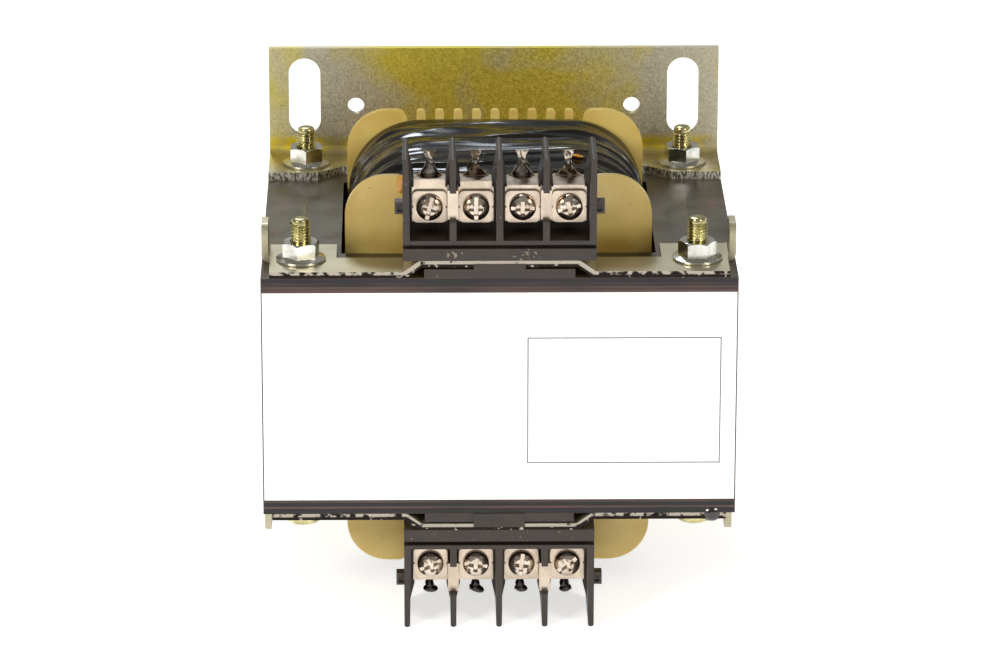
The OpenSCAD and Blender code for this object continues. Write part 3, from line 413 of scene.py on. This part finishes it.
def moulded_phenolic():
    finish, tree, shader, place = start("moulded_phenolic", coat_weight=0.15, coat_roughness=0.3)
    spot = place.outputs["Object"]
    cloud = add(tree, "TexNoise", {"Vector": spot, "Scale": per(5), "Detail": 5}).outputs["Fac"]
    body = add(tree, "Mix", {0: cloud, COLOUR_A: linear("#1b1310"), COLOUR_B: linear("#33271f")},
               data_type="RGBA").outputs[COLOUR_OUT]
    fleck = add(tree, "TexNoise", {"Vector": spot, "Scale": per(0.9), "Detail": 3}).outputs["Fac"]
    axes = add(tree, "SeparateXYZ", {0: spot})
    rise = add(tree, "Math", {0: axes.outputs["Z"], 1: middle_z}, operation="SUBTRACT").outputs[0]
    band = add(tree, "Math", {0: rise, 1: half_stack + CHIP_RISE * MM, 2: CHIP_HALF[1] * MM},
               operation="COMPARE").outputs[0]
    for centre in CHIP_X:
        scuff = add(tree, "Math", {0: axes.outputs["X"], 1: centre * MM, 2: CHIP_HALF[0] * MM},
                    operation="COMPARE").outputs[0]
        scuff = add(tree, "Math", {0: scuff, 1: band}, operation="MULTIPLY").outputs[0]
        fleck = add(tree, "Math", {0: scuff, 1: 0.13, 2: fleck}, operation="MULTIPLY_ADD").outputs[0]
    fleck = add(tree, "MapRange", {"Value": fleck, "From Min": 0.69, "From Max": 0.75}).outputs[0]
    colour = add(tree, "Mix", {0: fleck, COLOUR_A: body, COLOUR_B: linear("#7d745f")},
                 data_type="RGBA")
    tree.links.new(colour.outputs[COLOUR_OUT], shader.inputs["Base Color"])
    rough = add(tree, "MapRange", {"Value": cloud, "To Min": 0.34, "To Max": 0.55})
    tree.links.new(rough.outputs[0], shader.inputs["Roughness"])
    skin = add(tree, "TexNoise", {"Vector": spot, "Scale": per(0.8), "Detail": 2}).outputs["Fac"]
    bump = add(tree, "Bump", {"Height": skin, "Distance": 0.03 * MM, "Strength": 0.5})
    tree.links.new(bump.outputs[0], shader.inputs["Normal"])
    return finish


phenolic = moulded_phenolic()
dress(phenolic, "terminal_block_top", "terminal_block_bottom")
print("dressed the blocks in", phenolic.name)


# %% [markdown]
# ## Plated small parts
# Nickel is warm and pinkish beside zinc, which is bluish. Both are metals, so colour and
# roughness are nearly all there is to them. The same recipe serves every plated part: a base
# colour that drifts a little between two shades, and a polish that drifts with it. The lugs
# were tinned by hand, so they get blots of dark flux over the same nickel.


# %% Plated metals
LUG_ROOT = 20.4
LUG_FROM = 15


def plated(name, dull, bright, smooth, rough, blotch_mm):
    """A plated metal between two shades, with its smoothest and roughest polish."""
    finish, tree, shader, place = start(name, metallic=1.0)
    spot = place.outputs["Object"]
    drift = add(tree, "TexNoise", {"Vector": spot, "Scale": per(blotch_mm), "Detail": 4}).outputs["Fac"]
    drift = add(tree, "MapRange", {"Value": drift, "From Min": 0.35, "From Max": 0.65}).outputs[0]
    colour = add(tree, "Mix", {0: drift, COLOUR_A: linear(dull), COLOUR_B: linear(bright)},
                 data_type="RGBA")
    tree.links.new(colour.outputs[COLOUR_OUT], shader.inputs["Base Color"])
    polish = add(tree, "MapRange", {"Value": drift, "To Min": rough, "To Max": smooth})
    tree.links.new(polish.outputs[0], shader.inputs["Roughness"])
    round_edge = add(tree, "Bevel", {"Radius": 0.15 * MM}, samples=4)
    tree.links.new(round_edge.outputs[0], shader.inputs["Normal"])
    return finish


def tinned_lug():
    """Nickel on the strip under the clamp, and tin stained by flux on the lug beyond it."""
    finish = plated("tinned_nickel", "#c2b2a1", "#d2c3b2", 0.22, 0.32, 4)
    tree = finish.node_tree
    shader = tree.nodes["Principled BSDF"]
    spot = add(tree, "TexCoord").outputs["Object"]
    axes = add(tree, "SeparateXYZ", {0: spot})
    beyond = add(tree, "Math", {0: axes.outputs["Z"], 1: middle_z}, operation="SUBTRACT").outputs[0]
    beyond = add(tree, "Math", {0: beyond}, operation="ABSOLUTE").outputs[0]
    high = add(tree, "MapRange", {"Value": beyond, "From Min": half_stack + (LUG_ROOT - 0.2) * MM,
                                  "From Max": half_stack + (LUG_ROOT + 0.2) * MM}).outputs[0]
    deep = add(tree, "Math", {0: axes.outputs["Y"], 1: front_y + LUG_FROM * MM}, operation="GREATER_THAN")
    lug = add(tree, "Math", {0: high, 1: deep.outputs[0]}, operation="MULTIPLY").outputs[0]
    blot = add(tree, "TexNoise", {"Vector": spot, "Scale": per(1.6), "Detail": 2,
                                  "Distortion": 0.6}).outputs["Fac"]
    blot = add(tree, "MapRange", {"Value": blot, "From Min": 0.48, "From Max": 0.58}).outputs[0]
    tin = add(tree, "Mix", {0: blot, COLOUR_A: linear("#55483a"), COLOUR_B: linear("#d2c6b6")},
              data_type="RGBA").outputs[COLOUR_OUT]
    plain = shader.inputs["Base Color"].links[0].from_socket
    colour = add(tree, "Mix", {0: lug, COLOUR_A: plain, COLOUR_B: tin}, data_type="RGBA")
    tree.links.new(colour.outputs[COLOUR_OUT], shader.inputs["Base Color"])
    return finish


nickel = plated("nickel_plated_brass", "#c2b2a1", "#d2c3b2", 0.22, 0.32, 4)
screw_nickel = plated("polished_nickel", "#b9a999", "#dccfc0", 0.07, 0.14, 3)
bright_zinc = plated("bright_zinc", "#bdbdb5", "#dcdcd4", 0.14, 0.26, 3)
yellow_zinc = plated("yellowed_zinc", "#a8a06c", "#d8d0a2", 0.16, 0.28, 2.5)
lug_tin = tinned_lug()
for end in ("top", "bottom"):
    dress(nickel, f"clamp_plates_{end}", f"jumper_links_{end}")
    dress(lug_tin, *[f"terminal_{end}_{number}" for number in (1, 2, 3, 4)])
    dress(screw_nickel, f"terminal_screws_{end}")
dress(bright_zinc, "core_nuts")
dress(yellow_zinc, "core_screws")
print("plated:", nickel.name, screw_nickel.name, bright_zinc.name, yellow_zinc.name)

# %% [markdown]
# ## Label film
# The label is a printed white vinyl film over the whole front. The print that is left is one
# empty frame in a hairline on its right, drawn where the distance to the frame's outline is
# less than half a line. The outline is the edge of a box, so its distance is the larger of the
# two distances to the box's sides.

# %% Label
FRAME_MIDDLE = (29.9, -1.0)
FRAME_HALF = (23.1, 15.9)
HAIRLINE = 0.3


def label_film():
    finish, tree, shader, place = start("white_vinyl_film", roughness=0.42)
    spot = place.outputs["Object"]
    axes = add(tree, "SeparateXYZ", {0: spot})
    past = []
    middle = (FRAME_MIDDLE[0] * MM, middle_z + FRAME_MIDDLE[1] * MM)
    for axis, centre, half in zip("XZ", middle, FRAME_HALF):
        off = add(tree, "Math", {0: axes.outputs[axis], 1: centre}, operation="SUBTRACT").outputs[0]
        off = add(tree, "Math", {0: off}, operation="ABSOLUTE").outputs[0]
        past.append(add(tree, "Math", {0: off, 1: half * MM}, operation="SUBTRACT").outputs[0])
    outside = add(tree, "Math", {0: past[0], 1: past[1]}, operation="MAXIMUM").outputs[0]
    line = add(tree, "Math", {0: outside, 1: 0.0, 2: HAIRLINE / 2 * MM}, operation="COMPARE").outputs[0]
    age = add(tree, "TexNoise", {"Vector": spot, "Scale": per(30), "Detail": 3}).outputs["Fac"]
    film = add(tree, "Mix", {0: age, COLOUR_A: linear("#f8f7f6"), COLOUR_B: linear("#fdfdfc")},
               data_type="RGBA").outputs[COLOUR_OUT]
    colour = add(tree, "Mix", {0: line, COLOUR_A: film, COLOUR_B: linear("#606068")}, data_type="RGBA")
    tree.links.new(colour.outputs[COLOUR_OUT], shader.inputs["Base Color"])
    ripple = add(tree, "TexNoise", {"Vector": spot, "Scale": per(12), "Detail": 2}).outputs["Fac"]
    bump = add(tree, "Bump", {"Height": ripple, "Distance": 0.05 * MM, "Strength": 0.3})
    tree.links.new(bump.outputs[0], shader.inputs["Normal"])
    return finish


film = label_film()
dress(film, "label")
print("dressed the label in", film.name)

# %% [markdown]
# ## Pieces behind the tape
# The windings, the paper between them and the sleeves on the leads hardly show, but they can be
# seen where the bobbin is open, so each gets its own finish. Enamelled wire is copper under a
# clear amber film, wound in turns that are drawn as ridges across the coil.


# %% Wire, paper and sleeve
def ridged(name, dark, light, pitch_mm, axis, **values):
    """A finish of fine parallel ridges, such as turns of wire or the weave of a sleeve."""
    finish, tree, shader, place = start(name, **values)
    spot = place.outputs["Object"]
    along = add(tree, "SeparateXYZ", {0: spot}).outputs[axis]
    turn = add(tree, "Math", {0: along, 1: pitch_mm * MM}, operation="DIVIDE").outputs[0]
    ridge = add(tree, "Math", {0: turn, 1: 0.5}, operation="PINGPONG").outputs[0]
    ridge = add(tree, "Math", {0: ridge, 1: 2.0}, operation="MULTIPLY").outputs[0]
    drift = add(tree, "TexNoise", {"Vector": spot, "Scale": per(5), "Detail": 3}).outputs["Fac"]
    tone = add(tree, "Math", {0: ridge, 1: drift}, operation="MULTIPLY").outputs[0]
    colour = add(tree, "Mix", {0: tone, COLOUR_A: linear(dark), COLOUR_B: linear(light)}, data_type="RGBA")
    tree.links.new(colour.outputs[COLOUR_OUT], shader.inputs["Base Color"])
    bump = add(tree, "Bump", {"Height": ridge, "Distance": pitch_mm / 3 * MM, "Strength": 0.7})
    tree.links.new(bump.outputs[0], shader.inputs["Normal"])
    return finish


dress(ridged("enamelled_copper", "#6b3417", "#c98a52", 0.9, "Y", metallic=0.8, roughness=0.3),
      "primary_winding", "secondary_winding")
dress(ridged("layer_paper", "#a98a55", "#d8bf8c", 0.4, "Y", roughness=0.75), "interwinding_insulation")
dress(ridged("woven_sleeve", "#3d3f1c", "#9da057", 0.5, "Z", roughness=0.6), "leads_top", "leads_bottom")
print("dressed the windings, the paper and the leads")

# %% [markdown]
# ## Modelling helpers
# The new pieces are made as by hand: a primitive, edit-mode steps and modifiers. Four small
# helpers keep that readable. One selects a single piece, one opens it with just the faces or
# edges that pass a test, one adds and applies a modifier, and one finishes the piece: its place
# goes into its mesh, and it gets its name, its finish and the body that it rides on.


# %% Helpers for pieces
def only(piece):
    """Selects one piece and nothing else."""
    bpy.ops.object.select_all(action="DESELECT")
    piece.select_set(True)
    bpy.context.view_layer.objects.active = piece


def choose(piece, kind, test):
    """Opens a piece with only the faces or edges chosen whose middle and direction pass the test."""
    only(piece)
    mesh = piece.data
    bpy.ops.object.mode_set(mode="EDIT")
    bpy.ops.mesh.select_mode(type=kind)
    bpy.ops.mesh.select_all(action="DESELECT")
    bpy.ops.object.mode_set(mode="OBJECT")
    if kind == "FACE":
        for face in mesh.polygons:
            face.select = test(face.center, face.normal)
    else:
        for edge in mesh.edges:
            a, b = (mesh.vertices[i].co for i in edge.vertices)
            edge.select = test((a + b) / 2, b - a)
    bpy.ops.object.mode_set(mode="EDIT")


def modify(piece, kind, **settings):
    """Adds a modifier with its settings and applies it."""
    only(piece)
    made = piece.modifiers.new(kind.lower(), kind)
    for name, value in settings.items():
        setattr(made, name, value)
    bpy.ops.object.modifier_apply(modifier=made.name)


def finish_piece(piece, name, finish, slot, *stands_for):
    """Puts the piece's place into its mesh, names and dresses it, and fixes it to the part."""
    only(piece)
    bpy.ops.object.transform_apply(location=True, rotation=True, scale=True)
    piece.name = piece.data.name = name
    piece.data.materials.clear()
    piece.data.materials.append(finish)
    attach(piece, "root")
    if stands_for:
        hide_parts(*stands_for)
    print(name, "has", len(piece.data.polygons), "faces")
    return piece


def crumple(piece, pattern, strength_mm, size_mm, tilt=0.0, group="", mid_level=0.5, **settings):
    """Pushes a surface in and out by a pattern that is stretched to a size along X, Y and Z."""
    guide = bpy.data.objects.new("guide", None)
    bpy.context.collection.objects.link(guide)
    guide.scale = [v * MM for v in size_mm]
    guide.rotation_euler = (0, 0, tilt)
    bpy.context.view_layer.update()
    texture = bpy.data.textures.new("crumple", pattern)
    for name, value in settings.items():
        setattr(texture, name, value)
    modify(piece, "DISPLACE", texture=texture, texture_coords="OBJECT", texture_coords_object=guide,
           strength=strength_mm * MM, mid_level=mid_level, vertex_group=group)
    bpy.data.objects.remove(guide)


# %% [markdown]
# ## The tape round the coil
# The coil is wrapped in thin black film tape, which creases as it is pulled over the swelling
# turns. A smooth ring would look like rubber, so the creases are real relief: a box gets its
# four long edges bevelled to the coil's round corners, its ends are inset and bridged into a
# ring, and the outside is cut fine enough to be pushed in and out by two stretched patterns,
# a ridged one for the sharp creases and a soft one for the bulges between them.

# %% Tape
TAPE_T = 1.2
COIL_L = 52.8
COIL_RISE = 17.2
CORNER_R = 17.9
CROWN = 1.2
FOLDS = 4
FOLD_H = 0.8
FOLD_LEAN = 4


def tape_swell(across, along):
    """How far the tape swells at a place across it (-1 to 1) and along the coil (0 to 1)."""
    folds = math.cos(math.tau * FOLDS * (along + FOLD_LEAN / COIL_L * across / 2))
    return CROWN * (1 - (2 * along - 1) ** 2) + FOLD_H / 2 * math.sin(math.pi * along) * folds


def coil_tape():
    """The ring of tape: a box with round edges, hollowed, finely cut, swollen and creased."""
    low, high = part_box("coil_wrap")
    centre = (low + high) / 2
    half = (high - low) / 2
    half.z = half_stack + COIL_RISE * MM
    bpy.ops.object.select_all(action="DESELECT")
    bpy.ops.mesh.primitive_cube_add(size=2, location=centre, scale=half)
    piece = bpy.context.object
    bpy.ops.object.transform_apply(location=True, rotation=True, scale=True)
    choose(piece, "EDGE", lambda middle, way: abs(way.y) > 10 * MM)
    bpy.ops.mesh.bevel(offset=CORNER_R * MM, segments=14, affect="EDGES")
    bpy.ops.object.mode_set(mode="OBJECT")
    choose(piece, "FACE", lambda middle, normal: abs(normal.y) > 0.9)
    bpy.ops.mesh.inset(thickness=TAPE_T * MM)
    bpy.ops.mesh.delete(type="FACE")
    bpy.ops.mesh.select_mode(type="EDGE")
    bpy.ops.mesh.select_non_manifold(extend=False)
    bpy.ops.mesh.bridge_edge_loops()
    bpy.ops.object.mode_set(mode="OBJECT")

    def outer(middle):
        across = abs(middle.x) - half.x + CORNER_R * MM
        up = abs(middle.z - centre.z) - half.z + CORNER_R * MM
        reach = math.hypot(across, up) if across > 0 and up > 0 else max(across, up)
        return reach > (CORNER_R - TAPE_T / 2) * MM

    for axis, cuts in (("y", 55), ("x", 30), ("z", 20)):
        choose(piece, "EDGE", lambda middle, way: abs(getattr(way, axis)) > 10 * MM and outer(middle))
        bpy.ops.mesh.subdivide(number_cuts=cuts)
        bpy.ops.object.mode_set(mode="OBJECT")
    free = piece.vertex_groups.new(name="free")
    start_z = half_stack + MM
    for vertex in piece.data.vertices:
        spot = vertex.co
        above = max(0, abs(spot.z - centre.z) - start_z)
        along = (spot.y - low.y) / (high.y - low.y)
        if outer(spot):
            swell = tape_swell((spot.x - centre.x) / half.x, along) * MM * above / (half.z - start_z)
            spot.z += math.copysign(swell, spot.z - centre.z)
        inside = min(1, 12 * min(along, 1 - along))
        weight = inside * min(1, above / (4 * MM)) if outer(spot) else 0
        free.add([vertex.index], weight, "REPLACE")
    modify(piece, "SUBSURF", levels=1, render_levels=1)
    crumple(piece, "MUSGRAVE", 0.7, (52, 8, 40), tilt=0.12, group="free", mid_level=0.6,
            musgrave_type="RIDGED_MULTIFRACTAL", noise_scale=1.0, octaves=2)
    crumple(piece, "CLOUDS", 0.6, (46, 5, 50), tilt=-0.16, group="free", noise_scale=1.0, noise_depth=1)
    only(piece)
    bpy.ops.object.shade_smooth()
    return piece


def black_film():
    finish, tree, shader, place = start("black_film_tape", ior=1.34)
    spot = place.outputs["Object"]
    long = add(tree, "Mapping", {"Vector": spot, "Scale": (0.14, 1, 0.25),
                                 "Rotation": (0, 0, 0.12)}).outputs[0]
    fold = add(tree, "TexNoise", {"Vector": long, "Scale": per(5), "Detail": 1, "Distortion": 0.8},
               noise_type="RIDGED_MULTIFRACTAL", normalize=False).outputs["Fac"]
    broad = add(tree, "TexNoise", {"Vector": long, "Scale": per(5), "Detail": 3}).outputs["Fac"]
    # Painted reflection: olive-brown streaks stretched along the folds over the black film.
    tone = add(tree, "MapRange", {"Value": broad, "From Min": 0.56, "From Max": 0.7}).outputs[0]
    colour = add(tree, "Mix", {0: tone, COLOUR_A: linear("#080605"), COLOUR_B: linear("#2b2214")},
                 data_type="RGBA")
    tree.links.new(colour.outputs[COLOUR_OUT], shader.inputs["Base Color"])
    rough = add(tree, "MapRange", {"Value": broad, "To Min": 0.07, "To Max": 0.2})
    tree.links.new(rough.outputs[0], shader.inputs["Roughness"])
    bump = add(tree, "Bump", {"Height": fold, "Distance": 0.45 * MM, "Strength": 1.0})
    tree.links.new(bump.outputs[0], shader.inputs["Normal"])
    return finish


tape_finish = black_film()
finish_piece(coil_tape(), "creased_coil_tape", tape_finish, "coil_tape", "coil_wrap")

# %% [markdown]
# ## Threaded screws
# The solid screws are plain bars, because a thread is fine detail. Here a profile is drawn one
# vertex at a time and spun: once round for the head and shank, and as a rising helix for the
# thread, which is what the Screw modifier is for. The helix is then cut flat at both ends.

# %% Lathe and thread
PITCH = 0.8
CREST_R = 2.5
ROOT_R = 2.01


def drawn(points):
    """A line of edges through (radius, height) points in mm, extruded vertex by vertex."""
    bpy.ops.object.select_all(action="DESELECT")
    bpy.ops.mesh.primitive_plane_add(size=MM)
    bpy.ops.object.mode_set(mode="EDIT")
    bpy.ops.mesh.merge(type="CENTER")
    bpy.ops.mesh.select_mode(type="VERT")
    bpy.ops.mesh.select_all(action="SELECT")
    last = Vector((0, 0))
    for number, point in enumerate(points):
        step = Vector(point) - last
        move = (step.x * MM, 0, step.y * MM)
        if number == 0:
            bpy.ops.transform.translate(value=move)
        else:
            bpy.ops.mesh.extrude_vertices_move(TRANSFORM_OT_translate={"value": move})
        last = Vector(point)
    bpy.ops.object.mode_set(mode="OBJECT")
    return bpy.context.object


def lathe(points, steps=32):
    """Spins a profile round the Z axis into a closed shape."""
    piece = drawn(points)
    bpy.ops.object.mode_set(mode="EDIT")
    bpy.ops.mesh.select_all(action="SELECT")
    bpy.ops.mesh.spin(steps=steps, angle=math.tau, center=(0, 0, 0), axis=(0, 0, 1))
    bpy.ops.mesh.select_all(action="SELECT")
    bpy.ops.mesh.remove_doubles(threshold=0.004 * MM)
    bpy.ops.mesh.normals_make_consistent(inside=False)
    bpy.ops.object.mode_set(mode="OBJECT")
    return piece


def thread(turns):
    """A screw thread that starts at Z = 0 and is cut flat at both ends."""
    flat = PITCH / 8
    flank = (PITCH - 2 * flat) / 2
    piece = drawn([(ROOT_R, 0), (ROOT_R, flat), (CREST_R, flat + flank), (CREST_R, 2 * flat + flank),
                   (ROOT_R, PITCH)])
    modify(piece, "SCREW", axis="Z", angle=math.tau, screw_offset=PITCH * MM, iterations=turns + 1,
           steps=32, render_steps=32, use_merge_vertices=False)
    bpy.ops.object.mode_set(mode="EDIT")
    bpy.ops.mesh.select_all(action="SELECT")
    bpy.ops.mesh.remove_doubles(threshold=0.004 * MM)
    for height, outwards in ((PITCH, -1), (turns * PITCH, 1)):
        bpy.ops.mesh.select_all(action="SELECT")
        bpy.ops.mesh.bisect(plane_co=(0, 0, height * MM), plane_no=(0, 0, outwards), use_fill=True,
                            clear_outer=True)
    bpy.ops.mesh.select_all(action="SELECT")
    bpy.ops.mesh.normals_make_consistent(inside=False)
    bpy.ops.transform.translate(value=(0, 0, -PITCH * MM))
    bpy.ops.object.mode_set(mode="OBJECT")
    return piece


# %% Core screws
SCREW_X = 47.5
SHANK_L = 66.0
SCREW_L = 73.8
HEAD_R = 4.8
HEAD_H = 3.7
RECESS_W = 1.2
RECESS_H = 1.8
TIP_H = 0.9


def joined(pieces):
    """Joins several pieces into the first."""
    bpy.ops.object.select_all(action="DESELECT")
    for piece in pieces:
        piece.select_set(True)
    bpy.context.view_layer.objects.active = pieces[0]
    bpy.ops.object.join()
    return pieces[0]


def core_screw():
    """A pan head screw that stands on its head: domed, with a cross recess, a thread and a tip."""
    dome = [(HEAD_R - 2.1 + 2.1 * math.sin(a), 2 * (1 - math.cos(a)) - HEAD_H) for a in
            [math.radians(15 * k) for k in range(7)]]
    body = lathe([(0, -HEAD_H), *dome, (HEAD_R, 0), (CREST_R, 0), (CREST_R, SHANK_L), (0, SHANK_L)], 40)
    for size in ((HEAD_R, RECESS_W), (RECESS_W, HEAD_R)):
        bpy.ops.mesh.primitive_cube_add(size=1, location=(0, 0, -HEAD_H * MM),
                                        scale=(size[0] * MM, size[1] * MM, 2 * RECESS_H * MM))
        cutter = bpy.context.object
        modify(body, "BOOLEAN", object=cutter, operation="DIFFERENCE", solver="EXACT")
        bpy.data.objects.remove(cutter)
    turns = round((SCREW_L - TIP_H - SHANK_L) / PITCH)
    end = thread(turns)
    end.location.z = SHANK_L * MM
    top = SCREW_L - TIP_H
    tip = lathe([(0, top - 1), (2.12, top - 1), (2.12, top + 0.25), (1.98, top + 0.6), (1.6, top + 0.83),
                 (1.0, top + TIP_H), (0, top + TIP_H)], 32)
    piece = joined([body, end, tip])
    only(piece)
    bpy.ops.object.shade_smooth_by_angle(angle=math.radians(28))
    return piece


def core_screws():
    """Four copies: two under the lower strap and two under the lower bracket, each turned its own way."""
    model = core_screw()
    copies = []
    for depth, seat, turn in ((9.5, STRAP_T, 0.4), (85.5, BRACKET_T, 1.3)):
        for side in (-1, 1):
            copy = model.copy()
            copy.data = model.data.copy()
            bpy.context.collection.objects.link(copy)
            copy.location = at(side * SCREW_X, depth, seat, side=-1)
            copy.rotation_euler = (0, 0, turn * (side + 2))
            only(copy)
            bpy.ops.object.transform_apply(location=True, rotation=True, scale=True)
            copies.append(copy)
    bpy.data.objects.remove(model)
    return joined(copies)


finish_piece(core_screws(), "threaded_core_screws", yellow_zinc, "screw_zinc", "core_screws")

# %% [markdown]
# ## Solder, varnish and tape ends
# Hand soldering leaves a bell of tin on a lug, and dipping leaves drops that hang where the
# varnish ran together. A bell is turned from its profile and pressed flat; every other lump is a
# small sphere that is squeezed to its real size. A soft pattern pushes them about, so that no
# two are alike. Ends of amber tape stick out beside the block in the same way.


# %% Metals and varnish for the small blobs
solder = plated("bright_solder", "#8d857c", "#d9d3ca", 0.1, 0.22, 1.5)


def dried_varnish(name, dark, light):
    """Varnish that set as a thick glassy drop."""
    finish, tree, shader, place = start(name, coat_weight=0.8, coat_roughness=0.04)
    spot = place.outputs["Object"]
    cloud = add(tree, "TexNoise", {"Vector": spot, "Scale": per(1.5), "Detail": 3}).outputs["Fac"]
    colour = add(tree, "Mix", {0: cloud, COLOUR_A: linear(dark), COLOUR_B: linear(light)}, data_type="RGBA")
    tree.links.new(colour.outputs[COLOUR_OUT], shader.inputs["Base Color"])
    rough = add(tree, "MapRange", {"Value": cloud, "To Min": 0.12, "To Max": 0.3})
    tree.links.new(rough.outputs[0], shader.inputs["Roughness"])
    return finish


black_varnish = dried_varnish("black_varnish", "#0b0706", "#1d1412")
amber_varnish = dried_varnish("amber_varnish", "#a3620a", "#e0a52a")

# %% Blobs
POLE_PITCH = 11.1
LUG_DEPTH = 17.2
LUG_WAIST = 23.7
LUG_TIP = 26.6


def blob(name, finish, place, size_mm, turn=0.0, rough=0.12):
    """A rounded lump of the given size, a little uneven."""
    bpy.ops.object.select_all(action="DESELECT")
    bpy.ops.mesh.primitive_uv_sphere_add(segments=28, ring_count=18, radius=0.5, location=place,
                                         rotation=(0, turn, 0), scale=[v * MM for v in size_mm])
    piece = bpy.context.object
    bpy.ops.object.transform_apply(location=True, rotation=True, scale=True)
    crumple(piece, "CLOUDS", rough * max(size_mm), [max(size_mm) * 0.7] * 3, noise_scale=1.0)
    only(piece)
    bpy.ops.object.shade_smooth()
    piece.name = name
    piece.data.materials.append(finish)
    return piece


def pole(number):
    """X of a pole in mm, counted from 1 at the left."""
    return (number - 2.5) * POLE_PITCH


def bell(x):
    """A bell of solder round a lug, turned from its profile and pressed flat against the lug."""
    profile = [(0, 0), (1.7, 0.05), (2.25, 0.4), (2.4, 0.9), (2.2, 1.5), (1.75, 2.1), (1.25, 2.7),
               (0.95, 3.4), (0.85, 4.0), (0, 4.1)]
    piece = lathe(profile, 36)
    piece.scale = (1, 0.6, 1)
    piece.location = at(x, LUG_DEPTH - 0.2, LUG_ROOT - 0.4)
    only(piece)
    bpy.ops.object.transform_apply(location=True, rotation=True, scale=True)
    modify(piece, "SUBSURF", levels=1, render_levels=1)
    crumple(piece, "CLOUDS", 0.35, (2.6, 2.6, 2.2), noise_scale=1.0)
    only(piece)
    bpy.ops.object.shade_smooth()
    piece.data.materials.append(solder)
    return piece


def solder_bells():
    """Bells of solder round the first and third upper lug, and a drop on the other two."""
    parts = []
    for number in (1, 3):
        x = pole(number)
        parts.append(bell(x))
        parts.append(blob("knot", solder, at(x + 0.3, LUG_DEPTH - 0.8, 24.0), (2.6, 1.3, 0.9), turn=0.5))
    for number in (2, 4):
        parts.append(blob("drop", solder, at(pole(number), LUG_DEPTH - 0.6, LUG_WAIST), (1.7, 1.2, 1.5)))
    return joined(parts)


def varnish_caps():
    """Drops of varnish that hang from the tips of the four lower lugs."""
    parts = []
    for number, wide, lean in ((1, 3.7, 0.1), (2, 3.9, 0.45), (3, 3.4, 0.15), (4, 3.0, -0.2)):
        place = at(pole(number) + 0.6 * lean, LUG_DEPTH - 0.2, LUG_TIP - 0.4, side=-1)
        parts.append(blob("cap", black_varnish, place, (wide, 1.9, 2.1), turn=lean))
        parts.append(blob("stem", black_varnish, place + Vector((-0.3 * MM, 0, 1.3 * MM)), (2.3, 1.5, 2.6)))
    return joined(parts)


def amber_ends():
    """Three ends of amber tape: two beside the first fin and one behind the last pole."""
    return joined([blob("left", amber_varnish, at(-23.3, 18.6, 17.6), (2.4, 0.9, 4.6), turn=0.1),
                   blob("low", amber_varnish, at(-19.7, 18.6, 18.9), (2.8, 0.8, 1.6), turn=0.5),
                   blob("right", amber_varnish, at(19.7, 38.0, 18.6), (2.8, 1.0, 0.9), turn=0.2)])


finish_piece(solder_bells(), "solder_on_lugs", solder, "terminal_nickel")
finish_piece(varnish_caps(), "varnish_drops_on_lugs", black_varnish, "terminal_nickel")
drip = blob("drip", black_varnish, at(51.5, 1.2, 0.3, side=-1), (5.2, 3.6, 4.6))
finish_piece(drip, "varnish_drip", black_varnish, "core_steel")
finish_piece(amber_ends(), "amber_tape_ends", amber_varnish, "coil_tape")

# %% [markdown]
# ## Table top
# The table is a pale acrylic sheet that is lit from below, as photographers use for small
# products. It glows just enough to lift the shadow under the part.

# %% Table
bpy.ops.object.select_all(action="DESELECT")
bpy.ops.mesh.primitive_plane_add(size=12)
table = bpy.context.object
table.name = "table_top"
acrylic, tree, shader, place = start("lit_white_acrylic", roughness=0.6, emission_strength=0.65)
shader.inputs["Emission Color"].default_value = linear("#ffffff")
veil = add(tree, "TexNoise", {"Vector": place.outputs["Object"], "Scale": per(400)}).outputs["Fac"]
pale = add(tree, "Mix", {0: veil, COLOUR_A: linear("#efefee"), COLOUR_B: linear("#f4f4f4")}, data_type="RGBA")
tree.links.new(pale.outputs[COLOUR_OUT], shader.inputs["Base Color"])
table.data.materials.append(acrylic)
print("the part stands on", table.name)
